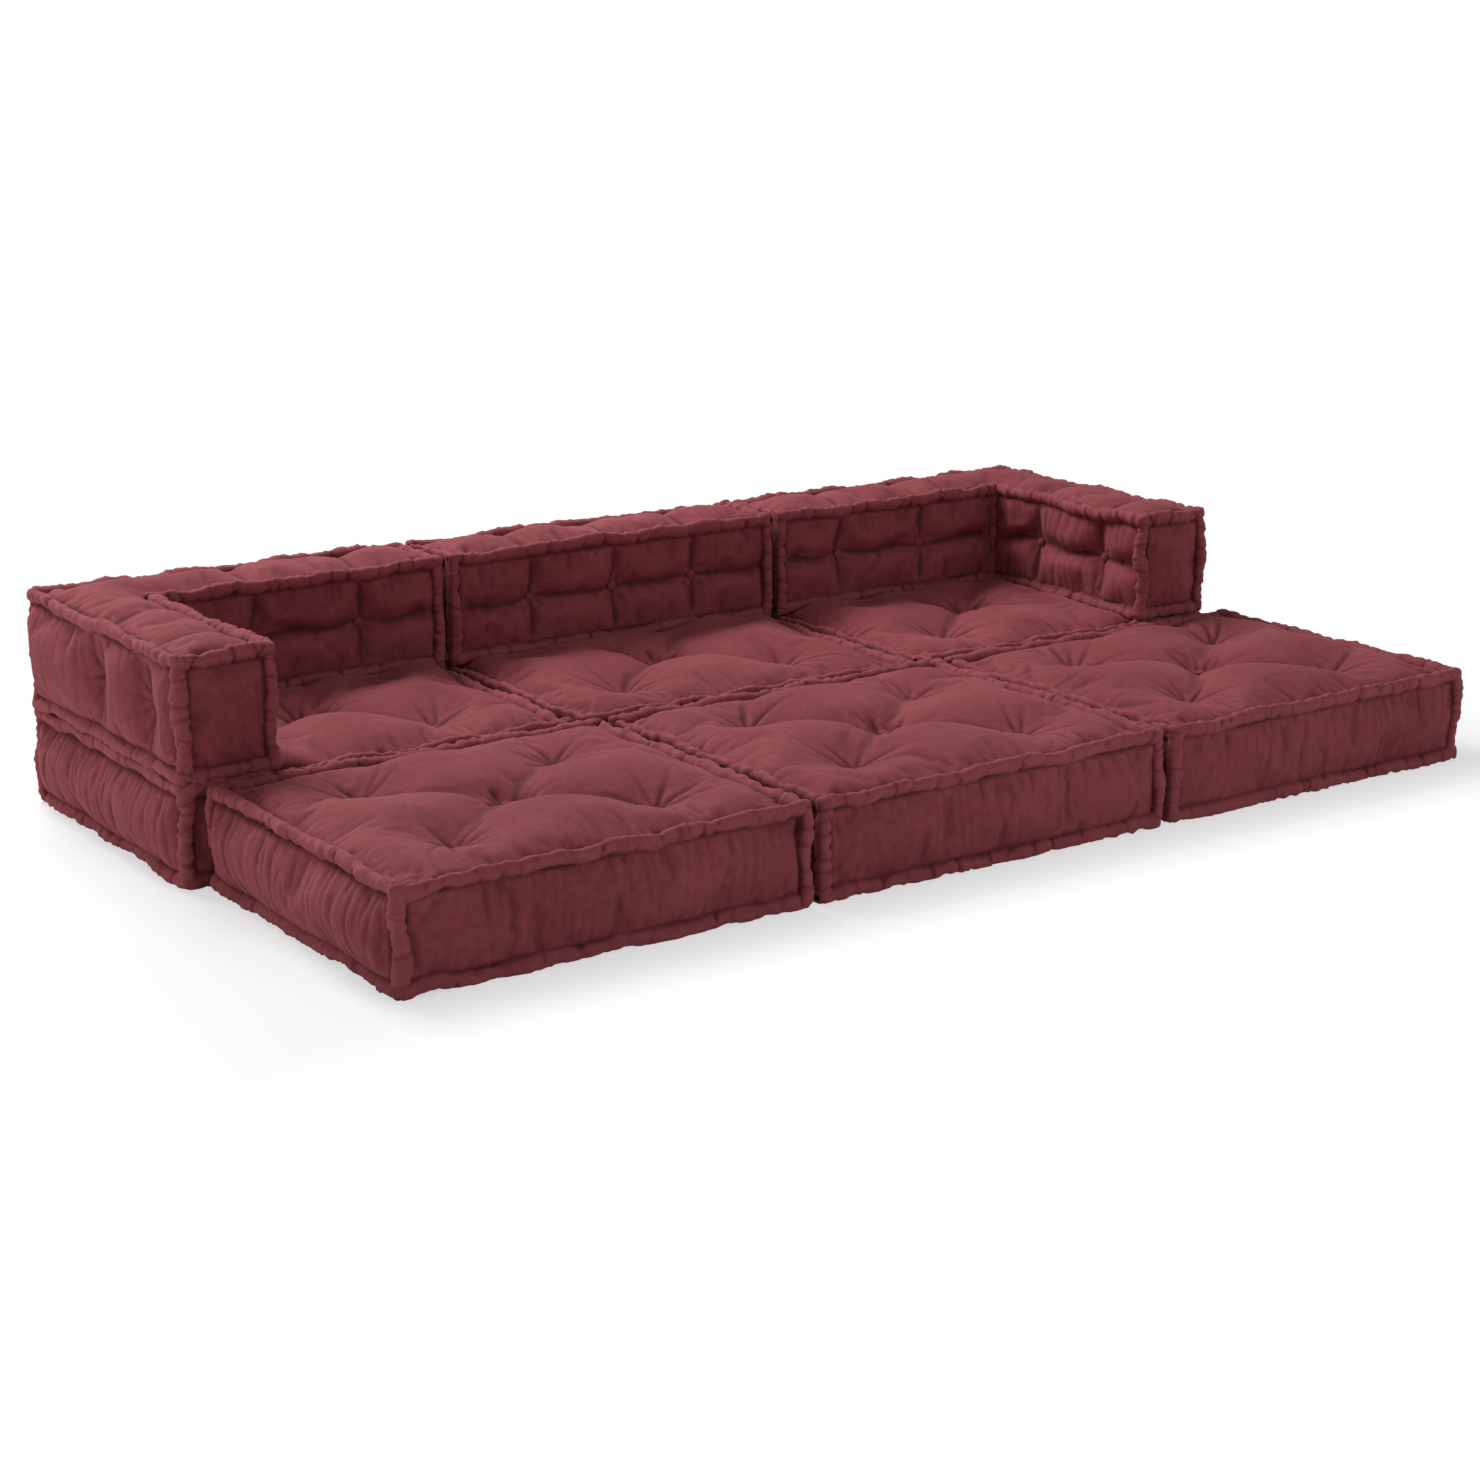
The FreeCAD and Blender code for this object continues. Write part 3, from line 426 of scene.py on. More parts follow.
def tuft_rays(across, up, reach, count, seed):
    """How deep the creases round one tuft are, from the two distances to it."""
    dice = np.random.default_rng(seed)
    away, turn = np.hypot(across, up), np.arctan2(up, across)
    total = np.zeros(len(away))
    for number in range(count):
        angle = 2 * math.pi * (number + dice.uniform(*RAY_STRAYS)) / count
        bend, length = dice.uniform(*RAY_BENDS), reach * dice.uniform(*RAY_LENGTHS)
        off = (turn - angle - bend * away + math.pi) % (2 * math.pi) - math.pi
        aside = away * np.sin(np.clip(off, -math.pi / 2, math.pi / 2))
        fade = np.clip(1 - away / length, 0, 1) ** 1.2 * np.clip(away / (10 * MM), 0, 1)
        ahead = np.abs(off) < 1.5
        total += dice.uniform(*RAY_DEPTHS) * fade * bell(aside, RAY_WIDTH + RAY_FLARE * away) * ahead
    return total


print("pleats are", PLEAT_WIDTHS_MM, "mm wide, puckers", PUCKER_WIDTHS_MM, "mm")

# %% [markdown]
# Gathering presses the pleats into every panel but the underside. Side panels are gathered along their
# foot and their head, and the top along all of its seams, where it is puckered as well.

# %% Gathering the panels
PLEAT_SPACING = 20 * MM
TOP_PLEAT, SIDE_PLEAT = 70 * MM, 120 * MM
PUCKER = 6 * MM
FACES_SO = 0.9


def gathered_seams(flat, facing):
    """Each panel with each gathered seam: its vertices, its axis, and the places along and in from it."""
    for axis, sign in ((0, -1), (0, 1), (1, -1), (1, 1), (2, 1)):
        others = [other for other in range(3) if other != axis]
        faces = facing[:, axis] * sign > FACES_SO
        for plane in np.unique(flat[faces, axis].round(3)):
            panel = faces & (np.abs(flat[:, axis] - plane) < MM)
            for side in others if axis == 2 else [2]:
                along = flat[panel, others[0] if side == others[1] else others[1]]
                inward = flat[panel, side]
                yield panel, axis, along, inward - inward.min()
                yield panel, axis, along, inward.max() - inward


def press_in(cover, depth):
    """Presses each vertex of a cover in by its own depth."""
    set_points(cover, points_of(cover) - kept(cover, "facing") * depth[:, None])


def gather(cover, depths, seed):
    """Presses pleats into every panel; depths are for panels that face along X, along Y and up."""
    flat, facing = kept(cover, "flat"), kept(cover, "facing")
    depth = np.zeros(len(flat))
    for number, (panel, axis, along, inward) in enumerate(gathered_seams(flat, facing), seed + 1):
        reach = TOP_PLEAT if axis == 2 else SIDE_PLEAT
        depth[panel] += depths[axis] * pleats(along, inward, reach, PLEAT_SPACING, number)
        if axis == 2:
            depth[panel] += PUCKER * puckers(along, inward, number)
    press_in(cover, depth)


print("pleats reach in by", round(TOP_PLEAT / MM), "mm on top and", round(SIDE_PLEAT / MM), "mm on sides")

# %% [markdown]
# A seat pad has five tufts: four round a fifth in the middle. Its top rises from the seams to a soft
# crown, with shallow valleys from the middle tuft to the others. Its sides bulge, the short ones most, and
# its underside is flat on the floor. Two covers are made, so that neighbours differ.

# %% Seat pad covers
PAD_TUFT_PLACES = [(0.0, 0.0)] + [(x * 170 * MM, y * 145 * MM) for x in (-1, 1) for y in (-1, 1)]
PAD_TUFT_SEATS = [PAD_Z - 18 * MM] + [PAD_Z - 22 * MM] * 4
PAD_CROWN, PAD_CROWN_REACH = 21 * MM, 130 * MM
LONG_SWELL, SHORT_SWELL = 13 * MM, 32 * MM
FLOOR_GAP, FOOT_ROUND = 0.5 * MM, 10 * MM
VALLEY, VALLEY_WIDTH, VALLEY_ENDS = 14 * MM, 34 * MM, 20 * MM
PAD_PULL = 70 * MM
PAD_LUMPS, PAD_LUMP_SIZE = 1.5 * MM, 160 * MM
PAD_CAP = 12 * MM
PAD_GATHER = (4.2 * MM, 1.7 * MM, 2.9 * MM)
PAD_RAY, PAD_RAY_REACH, PAD_RAYS = 7.0 * MM, 130 * MM, 9


def pad_shape(flat, facing, gap, seam):
    """The swollen shape of a pad, and which of its points are sewn down."""
    top, under = facing[:, 2] > 0, facing[:, 2] < 0
    swell = np.where(np.abs(facing[:, 0]) > 0, SHORT_SWELL, LONG_SWELL)
    lift = np.where(top | under, 0, swell * arch(gap, PAD_Z / 2 - SEAM_INSET))
    lift = np.where(top & ~seam, (SEAM_INSET + PAD_CROWN) * arch(gap, PAD_CROWN_REACH), lift)
    shape = flat + facing * np.where(seam, 0, lift)[:, None]
    foot = under & ~seam
    shape[foot, 2] = FLOOR_GAP + SEAM_INSET * bell(gap[foot], FOOT_ROUND)
    sewn = seam | under
    for (x, y), seat in zip(PAD_TUFT_PLACES, PAD_TUFT_SEATS):
        near, reach = np.hypot(flat[:, 0] - x, flat[:, 1] - y), math.hypot(x, y)
        if reach:
            ahead = (flat[:, 0] * x + flat[:, 1] * y) / reach
            aside = np.abs(flat[:, 0] * y - flat[:, 1] * x) / reach
            between = np.clip(ahead / VALLEY_ENDS, 0, 1) * np.clip((reach - ahead) / VALLEY_ENDS, 0, 1)
            shape[:, 2] -= np.where(top, VALLEY * between * bell(aside, VALLEY_WIDTH), 0)
        pull = np.where(top, np.exp(-(near / PAD_PULL) ** 1.2), 0)
        shape[:, 2] += pull * (seat - shape[:, 2])
        sewn |= top & (near < TUFT_HOLD)
    return shape, sewn


def pad_cover(name, seed):
    cover = pad_block()
    cut_into_cells(cover)
    cover.name = name
    flat, facing, gap, seam = lay_out(cover)
    shape, sewn = pad_shape(flat, facing, gap, seam)
    lumps = uneven(flat, PAD_LUMP_SIZE, seed)[:, None] * facing * np.where(sewn, 0, PAD_LUMPS)[:, None]
    fill(cover, shape + lumps, sewn, PAD_CAP)
    gather(cover, PAD_GATHER, seed * 10)
    flat, facing = kept(cover, "flat"), kept(cover, "facing")
    depth = np.zeros(len(flat))
    for number, (x, y) in enumerate(PAD_TUFT_PLACES):
        rays = tuft_rays(flat[:, 0] - x, flat[:, 1] - y, PAD_RAY_REACH, PAD_RAYS, seed + number)
        depth += PAD_RAY * rays
    depth[facing[:, 2] < FACES_SO] = 0
    press_in(cover, depth)
    return cover


def tell(names):
    """Prints the size of some of the masters."""
    for name in names:
        points = points_of(MASTERS[name])
        print(name, len(points), "points, top at", round(points[:, 2].max() / MM), "mm")


MASTERS = {"pad_a": pad_cover("pad_a", 11), "pad_b": pad_cover("pad_b", 23)}
tell(["pad_a", "pad_b"])

# %% [markdown]
# The back cushions are tufted sideways, half way up. On the faces of the run, and on the arm's face towards
# the sitter, the canvas is drawn into crisp creases from tuft to tuft, one level and the others upright,
# which are pinned as well. On the arm's outer face the tufts sit in wide, soft hollows. Creases wander a
# little, because on hand-made work they are never straight.

# %% The swollen shape of a back
BACK_TUFT_PLACES = [-175 * MM, 0.0, 175 * MM]
LEG_TUFT_PLACES = [190 * MM, -10 * MM]
ARM_TUFT_PLACES = [-170 * MM, 15 * MM]
TUFT_LEVEL = BACK_Z / 2
BACK_CROWN = 9 * MM
END_SWELL, FACE_SWELL = SHORT_SWELL + 6 * MM, LONG_SWELL + 4 * MM
TUFT_SINK = -13 * MM
CRISP_WIDTH, CRISP_SINK, CRISP_PULL = 16 * MM, -3 * MM, 42 * MM
SOFT_WIDTH, SOFT_SINK, SOFT_PULL = 30 * MM, 9 * MM, 62 * MM
CREASE_ENDS, CREASE_HOLD = 40 * MM, 20 * MM
WANDER, WANDER_SIZE = 2 * MM, 110 * MM


def tufted_panels(flat, facing, has_arm):
    """Tufted panels of a back: their vertices, the axis along them, their tufts, and if creases are crisp."""
    run_tufts = LEG_TUFT_PLACES if has_arm else BACK_TUFT_PLACES
    inner_run = (facing[:, 1] < 0) & (np.abs(flat[:, 1] - RUN_FACE) < MM)
    panels = [(inner_run, 0, run_tufts, True), (facing[:, 1] > 0, 0, run_tufts, True)]
    if has_arm:
        inner_arm = (facing[:, 0] > 0) & (np.abs(flat[:, 0] - ARM_FACE) < MM)
        panels += [(inner_arm, 1, ARM_TUFT_PLACES, True), (facing[:, 0] < 0, 1, ARM_TUFT_PLACES, False)]
    return panels


def crease_wander(flat, seed):
    """How far the creases of a back stray from straight."""
    return uneven(flat, WANDER_SIZE, seed) * WANDER


def back_shape(flat, facing, gap, seam, has_arm, wander):
    """How far each point of a back is lifted off its flat panel, and which points are sewn down."""
    top, under = facing[:, 2] > 0, facing[:, 2] < 0
    swell = np.where(facing[:, 0] < 0, END_SWELL, FACE_SWELL)
    lift = np.where(top | under, 0, swell * arch(gap, BACK_Z / 2 - SEAM_INSET))
    lift = np.where(top, (SEAM_INSET + BACK_CROWN) * arch(gap, BACK_Y / 2 - SEAM_INSET), lift)
    lift[seam] = 0
    foot = under & ~seam
    lift[foot] = (SEAM_INSET - FLOOR_GAP) * (1 - bell(gap[foot], FOOT_ROUND))
    sewn = seam | under
    for panel, along, places, crisp in tufted_panels(flat, facing, has_arm):
        panel = panel & ~seam
        up = np.abs(flat[:, 2] - TUFT_LEVEL + wander)
        lines = [np.abs(flat[:, along] - place + wander) for place in places]
        width, sink = (CRISP_WIDTH, CRISP_SINK) if crisp else (SOFT_WIDTH, SOFT_SINK)
        for line in lines + ([up] if crisp else []):
            drawn = np.where(panel, bell(line, width) * arch(gap, CREASE_ENDS), 0)
            lift += drawn * (sink + wander - lift)
            sewn |= panel & (line < CELL / 2) & (gap > CREASE_HOLD) & crisp
        for line in lines:
            near = np.hypot(line, up)
            pull = np.exp(-(near / (CRISP_PULL if crisp else SOFT_PULL)) ** 1.3)
            lift += np.where(panel, pull, 0) * (TUFT_SINK - lift)
            sewn |= panel & (near < TUFT_HOLD)
    return lift, sewn


print("back tufts at", [round(place / MM) for place in BACK_TUFT_PLACES], "mm, half way up")

# %% [markdown]
# After filling, the crisp line of each crease and the rays of each tuft are pressed in, and the ties draw
# the tops down too: over every tuft a soft saddle runs across the back, with a narrow fold at its middle.

# %% Back and corner covers
BACK_LUMPS, BACK_LUMP_SIZE = 1.2 * MM, 120 * MM
BACK_CAP = 10 * MM
BACK_GATHER = (2.8 * MM, 1.2 * MM, 2.8 * MM)
BACK_RAY, BACK_RAYS = 3.5 * MM, 8
CRISP_RAY_REACH, SOFT_RAY_REACH = 60 * MM, 115 * MM
LINE, LINE_WIDTH, LINE_ENDS = 2 * MM, 3.5 * MM, 60 * MM
SADDLE, SADDLE_WIDTH, SADDLE_ENDS = 10 * MM, 26 * MM, 45 * MM
SADDLE_FOLD, SADDLE_FOLD_WIDTH = 3 * MM, 5 * MM


def face_creases(flat, facing, gap, has_arm, wander, seed):
    """How deep the crisp creases and rays on the faces of a back are."""
    depth = np.zeros(len(flat))
    for panel, along, places, crisp in tufted_panels(flat, facing, has_arm):
        up = flat[:, 2] - TUFT_LEVEL + wander
        for number, place in enumerate(places):
            across = flat[:, along] - place + wander
            reach = CRISP_RAY_REACH if crisp else SOFT_RAY_REACH
            rays = tuft_rays(across, up, reach, BACK_RAYS, seed + number)
            line = bell(across, LINE_WIDTH) * arch(gap, LINE_ENDS)
            depth += np.where(panel, BACK_RAY * rays + LINE * line, 0)
        if crisp:
            depth += np.where(panel, LINE * bell(up, LINE_WIDTH) * arch(gap, LINE_ENDS), 0)
    return depth


def top_saddles(flat, facing, gap, has_arm, wander):
    """How deep the saddles over the top of a back are."""
    depth = np.zeros(len(flat))
    top, run = facing[:, 2] > FACES_SO, flat[:, 1] > RUN_FACE
    saddles = [(run, 0, place) for place in (LEG_TUFT_PLACES if has_arm else BACK_TUFT_PLACES)]
    saddles += [(~run, 1, place) for place in (ARM_TUFT_PLACES if has_arm else [])]
    for part, along, place in saddles:
        across = np.abs(flat[:, along] - place + wander)
        drawn = SADDLE * bell(across, SADDLE_WIDTH) + SADDLE_FOLD * bell(across, SADDLE_FOLD_WIDTH)
        depth += np.where(top & part, drawn * arch(gap, SADDLE_ENDS), 0)
    return depth


def back_cover(name, has_arm, seed):
    cover = corner_block() if has_arm else back_block()
    cut_into_cells(cover)
    cover.name = name
    flat, facing, gap, seam = lay_out(cover)
    lift, sewn = back_shape(flat, facing, gap, seam, has_arm, crease_wander(flat, seed))
    lift += uneven(flat, BACK_LUMP_SIZE, seed + 1) * np.where(sewn, 0, BACK_LUMPS)
    fill(cover, flat + facing * lift[:, None], sewn, BACK_CAP)
    gather(cover, BACK_GATHER, seed * 10)
    flat, facing, gap = kept(cover, "flat"), kept(cover, "facing"), kept(cover, "gap")
    wander = crease_wander(flat, seed)
    creases = face_creases(flat, facing, gap, has_arm, wander, seed)
    press_in(cover, creases + top_saddles(flat, facing, gap, has_arm, wander))
    return cover


MASTERS["back"] = back_cover("back", False, 31)
MASTERS["corner"] = back_cover("corner", True, 47)
tell(["back", "corner"])

# %% [markdown]
# Each edge is a roll of canvas round a little wadding, whipped by hand with strong thread. A roll starts
# as a cylinder cut into rings. Its line wanders, its thickness comes and goes, and slanting stitches bite
# into it every few centimetres. The shade that is kept is painted shade, darker in the stitches' bites and
# along the side that meets the seam.

# %% One whipped roll
ROLL_RADIUS = 12.5 * MM
ROLL_SIDES = 16
ROLL_STEP = 3.2 * MM
ROLL_FULL = 14 * MM
ROLL_SWELL, ROLL_SWELL_SIZE = 0.07, 80 * MM
STITCH_STARTS_MM, STITCH_STEPS_MM = (10, 40), (13, 58)
STITCH_WIDTHS_MM, STITCH_SLANTS_MM = (2.6, 4.6), (-11, 11)
STITCH_BITE, STITCH_BITES = 0.30, (0.2, 1)
STITCH_TURN, STITCH_SPREAD = 1.9, 0.5
SEAM_TURN, SEAM_SPREAD = 2.2, 0.45
ROLL_WRINKLES = ((0.85 * MM, 13 * MM, 7), (0.9 * MM, 30 * MM, 9))
SWAY_OUT, SWAY_OUT_SIZE = 1.8 * MM, 120 * MM
SWAY_UP, SWAY_UP_SIZE = 2.0 * MM, 110 * MM


def whipped(points, length, form, seed):
    """Shapes a roll that lies along Z about its middle; +X is its outer side."""
    reach, thickness, bow, bite_share = form
    dice = np.random.default_rng(seed)
    along = points[:, 2] + length / 2
    turn = np.arctan2(points[:, 1], points[:, 0])
    axis = np.hypot(points[:, 0], points[:, 1]) < STRAIGHT
    line = np.stack([along, np.zeros(len(along)), np.zeros(len(along))], axis=1)
    radius = ROLL_FULL * (1 + ROLL_SWELL * uneven(line, ROLL_SWELL_SIZE, seed))
    inner = bell(np.abs(turn) - STITCH_TURN, STITCH_SPREAD)
    radius *= 1 - 0.14 * inner + 0.10 * bell(turn, 0.5)
    # Painted shade along the side of the roll that meets the seam.
    mark = 1 - 1.8 * bell(np.abs(turn) - SEAM_TURN, SEAM_SPREAD)
    place = dice.uniform(*STITCH_STARTS_MM) * MM
    while place < length - 8 * MM:
        width, slant = dice.uniform(*STITCH_WIDTHS_MM) * MM, dice.uniform(*STITCH_SLANTS_MM) * MM
        depth = STITCH_BITE * bite_share * dice.uniform(*STITCH_BITES) ** 1.3
        bite = bell(along - place - slant * bite_share * np.sin(turn), width)
        radius *= 1 - depth * bite * (0.6 + 0.9 * inner)
        # Painted shade in the bite of each stitch.
        mark = np.minimum(mark, 1 - (0.9 + 5.5 * depth) * bite ** 2)
        place += dice.uniform(*STITCH_STEPS_MM) * MM
    round_it = np.stack([along, 5 * MM * np.cos(turn), 5 * MM * np.sin(turn)], axis=1)
    for height, size, step in ROLL_WRINKLES:
        radius += height * uneven(round_it, size, seed + step)
    end = np.clip(np.minimum(along, length - along) / (0.45 * ROLL_FULL), 0, 1)
    radius *= np.sqrt(np.clip(1 - (1 - end) ** 2, 0.0, 1)) * 0.96 + 0.04
    radius[axis] = 0
    sway_out = SWAY_OUT * uneven(line, SWAY_OUT_SIZE, seed + 11) + bow * np.sin(math.pi * along / length)
    sway_up = SWAY_UP * uneven(line, SWAY_UP_SIZE, seed + 13)
    out, across = reach * radius * np.cos(turn), thickness * radius * np.sin(turn)
    return np.stack([out + sway_out, across + sway_up, along], axis=1), mark


def rolled_run(start, finish, outward, form, seed):
    """One roll from start to finish, facing outward."""
    length = np.linalg.norm(finish - start)
    select_only()
    bpy.ops.mesh.primitive_cylinder_add(
        vertices=ROLL_SIDES, radius=ROLL_RADIUS, depth=length, end_fill_type="TRIFAN", location=(0, 0, 0))
    run = bpy.context.object
    bpy.ops.object.mode_set(mode="EDIT")
    bpy.ops.mesh.select_mode(type="EDGE")
    select_edges(bmesh.from_edit_mesh(run.data), 2, length)
    bmesh.update_edit_mesh(run.data)
    bpy.ops.mesh.subdivide(number_cuts=round(length / ROLL_STEP) - 1)
    bpy.ops.object.mode_set(mode="OBJECT")
    shaped, mark = whipped(points_of(run), length, form, seed)
    keep(run, "mark", mark)
    ahead, outward = (finish - start) / length, outward / np.linalg.norm(outward)
    shaped = start + shaped @ np.stack([outward, np.cross(ahead, outward), ahead])
    shaped[:, 2] = np.maximum(shaped[:, 2], 0.3 * MM)
    set_points(run, shaped)
    bpy.ops.object.shade_smooth()
    return run


print("a pad's long roll has", round(PAD_X / ROLL_STEP), "rings")

# %% [markdown]
# A cushion's rolls follow its outline at the foot and at the top, and stand at each of its corners. The
# level ones lean out and are a little flattened; the upright ones are narrower, bow out slightly, have
# shallower stitches and run past the level ones. All the rolls of a cushion are joined into one piece.

# %% Rolled edges
# Each form gives the reach outwards, the thickness, the bow and the share of the stitches' bite.
LEVEL_FORM = (1.0, 0.8, 0.0, 1.0)
UPRIGHT_FORM = (0.78, 1.02, 2 * MM, 0.5)
FOOT_PAST, TOP_PAST = 11 * MM, 6 * MM
UPRIGHT_FOOT, UPRIGHT_HEAD = 2 * MM, 3 * MM
ROLL_LEAN = 0.65


def joined(name, pieces):
    """Joins pieces into one."""
    select_only(*pieces)
    bpy.ops.object.join()
    pieces[0].name = name
    return pieces[0]


def rolled_edges(name, outline, height, seed):
    """The rolls round an outline, at its foot and its top, and up its corners."""
    runs = []
    corners = [np.array(corner) for corner in outline]
    for number, corner in enumerate(corners):
        before, following = corners[number - 1], corners[(number + 1) % len(corners)]
        ahead = (following - corner) / np.linalg.norm(following - corner)
        out = ROLL_LEAN * np.array([ahead[1], -ahead[0]])
        for level, tilt, past in ((ROLL_RADIUS, -1, FOOT_PAST), (height - ROLL_RADIUS, 1, TOP_PAST)):
            start = np.append(corner - past * ahead, level)
            finish = np.append(following + past * ahead, level)
            runs.append(rolled_run(start, finish, np.append(out, tilt), LEVEL_FORM, seed + len(runs)))
        away = (corner - before) / np.linalg.norm(corner - before) - ahead
        foot, head = np.append(corner, UPRIGHT_FOOT), np.append(corner, height + UPRIGHT_HEAD)
        runs.append(rolled_run(foot, head, np.append(away, 0), UPRIGHT_FORM, seed + len(runs)))
    return joined(name, runs)


IN_X, IN_Y = PAD_X / 2 - ROLL_RADIUS, PAD_Y / 2 - ROLL_RADIUS
IN_RUN = PAD_Y / 2 - BACK_Y + ROLL_RADIUS
IN_ARM = BACK_Y - PAD_X / 2 - ROLL_RADIUS
PAD_OUTLINE = [(-IN_X, -IN_Y), (IN_X, -IN_Y), (IN_X, IN_Y), (-IN_X, IN_Y)]
BACK_OUTLINE = [(-IN_X, IN_RUN), (IN_X, IN_RUN), (IN_X, IN_Y), (-IN_X, IN_Y)]
CORNER_OUTLINE = [(-IN_X, -IN_Y), (IN_ARM, -IN_Y), (IN_ARM, IN_RUN)] + BACK_OUTLINE[1:]
ROLL_PLANS = {
    "pad_rolls_a": (PAD_OUTLINE, PAD_Z, 100),
    "pad_rolls_b": (PAD_OUTLINE, PAD_Z, 200),
    "back_rolls": (BACK_OUTLINE, BACK_Z, 300),
    "corner_rolls": (CORNER_OUTLINE, BACK_Z, 400),
}
for name, plan in ROLL_PLANS.items():
    MASTERS[name] = rolled_edges(name, *plan)
tell(ROLL_PLANS)

# %% [markdown]
# At the foot of every tuft sits a button covered in the same cotton. It starts as a small ball, flattened
# into a cap with a rim. Those of the backs show in the creases; those of the seats hide in deep hollows.

# %% Tuft buttons
BUTTON_RADIUS = 9 * MM
BUTTON_FLATNESS = 0.45
RIM_DEPTH, RIM_PLACE, RIM_WIDTH = 1.2 * MM, 0.72, 0.12
BUTTON_PROUD, UNDER_BUTTON = 1 * MM, 6 * MM


def tuft_button(centre, outward):
    """A covered button that faces outward."""
    select_only()
    bpy.ops.mesh.primitive_uv_sphere_add(
        segments=20, ring_count=12, radius=BUTTON_RADIUS, location=(0, 0, 0))
    button = bpy.context.object
    points = points_of(button)
    reach = np.hypot(points[:, 0], points[:, 1]) / BUTTON_RADIUS
    points[:, 2] *= BUTTON_FLATNESS
    points[:, 2] -= RIM_DEPTH * bell(reach - RIM_PLACE, RIM_WIDTH) * (points[:, 2] > 0)
    turn = Vector(outward).to_track_quat("Z", "Y").to_matrix()
    set_points(button, points @ np.array(turn).T + np.array(centre))
    bpy.ops.object.shade_smooth()
    return button


def pad_buttons(name):
    tufts = zip(PAD_TUFT_PLACES, PAD_TUFT_SEATS)
    tops = [((x, y, seat + BUTTON_PROUD), (0, 0, 1)) for (x, y), seat in tufts]
    feet = [((x, y, UNDER_BUTTON), (0, 0, -1)) for x, y in PAD_TUFT_PLACES]
    return joined(name, [tuft_button(*place) for place in tops + feet])


def back_buttons(name, has_arm):
    sink = TUFT_SINK + BUTTON_PROUD
    places = []
    for x in LEG_TUFT_PLACES if has_arm else BACK_TUFT_PLACES:
        places.append(((x, RUN_FACE - sink, TUFT_LEVEL), (0, -1, 0)))
        places.append(((x, HALF_Y + sink, TUFT_LEVEL), (0, 1, 0)))
    for y in ARM_TUFT_PLACES if has_arm else []:
        places.append(((-HALF_X - sink, y, TUFT_LEVEL), (-1, 0, 0)))
        places.append(((ARM_FACE + sink, y, TUFT_LEVEL), (1, 0, 0)))
    return joined(name, [tuft_button(*place) for place in places])


MASTERS["pad_buttons"] = pad_buttons("pad_buttons")
MASTERS["back_buttons"] = back_buttons("back_buttons", False)
MASTERS["corner_buttons"] = back_buttons("corner_buttons", True)
tell(["pad_buttons", "back_buttons", "corner_buttons"])

# %% [markdown]
# The cloth is heavy cotton canvas, dyed in the piece and washed until it faded: matt, a little fuzzy and
# paler where it rubs on ridges; shade is painted in darker down in the folds. It could be one flat colour
# with a bump, but then every fold would look new. So patches of fading, rubbed ridges, painted shade in the
# folds and thick slubs of yarn are mixed one after the other. The weave of half-millimetre threads is too
# fine to show from across a room, so it is drawn as threads of two millimetres. Sheen gives the soft bloom of
# fuzz.

# %% Cotton
# The third colour is painted shade for folds, seams and stitch bites; the fourth is the pale of wear on
# ridges.
FADED, DYED, PAINTED_SHADE, WORN, FUZZ = "#894146", "#783439", "#3F1519", "#954D53", "#B0767D"
NOISE_BUMP = 0.9
FADE_SIZE, SLUB_SIZE = 200 * MM, 10 * MM
THREAD = 2.0 * MM
WEAVE_SHARE = 0.25
NAP = 0.9 * MM


def linear(colour):
    """An sRGB hex colour as linear values."""
    parts = [int(colour[start:start + 2], 16) / 255 for start in (1, 3, 5)]
    return [part / 12.92 if part <= 0.04045 else ((part + 0.055) / 1.055) ** 2.4 for part in parts] + [1.0]


def add_node(tree, kind, settings=None, values=None, links=None):
    """Adds a node; values and links are given by socket name or number."""
    node = tree.nodes.new(kind)
    for name, value in (settings or {}).items():
        setattr(node, name, value)
    for socket, value in (values or {}).items():
        node.inputs[socket].default_value = value
    for socket, source in (links or {}).items():
        tree.links.new(source, node.inputs[socket])
    return node


def empty_tree(holder):
    """The emptied node tree of a material or a world."""
    holder.use_nodes = True
    holder.node_tree.nodes.clear()
    return holder.node_tree


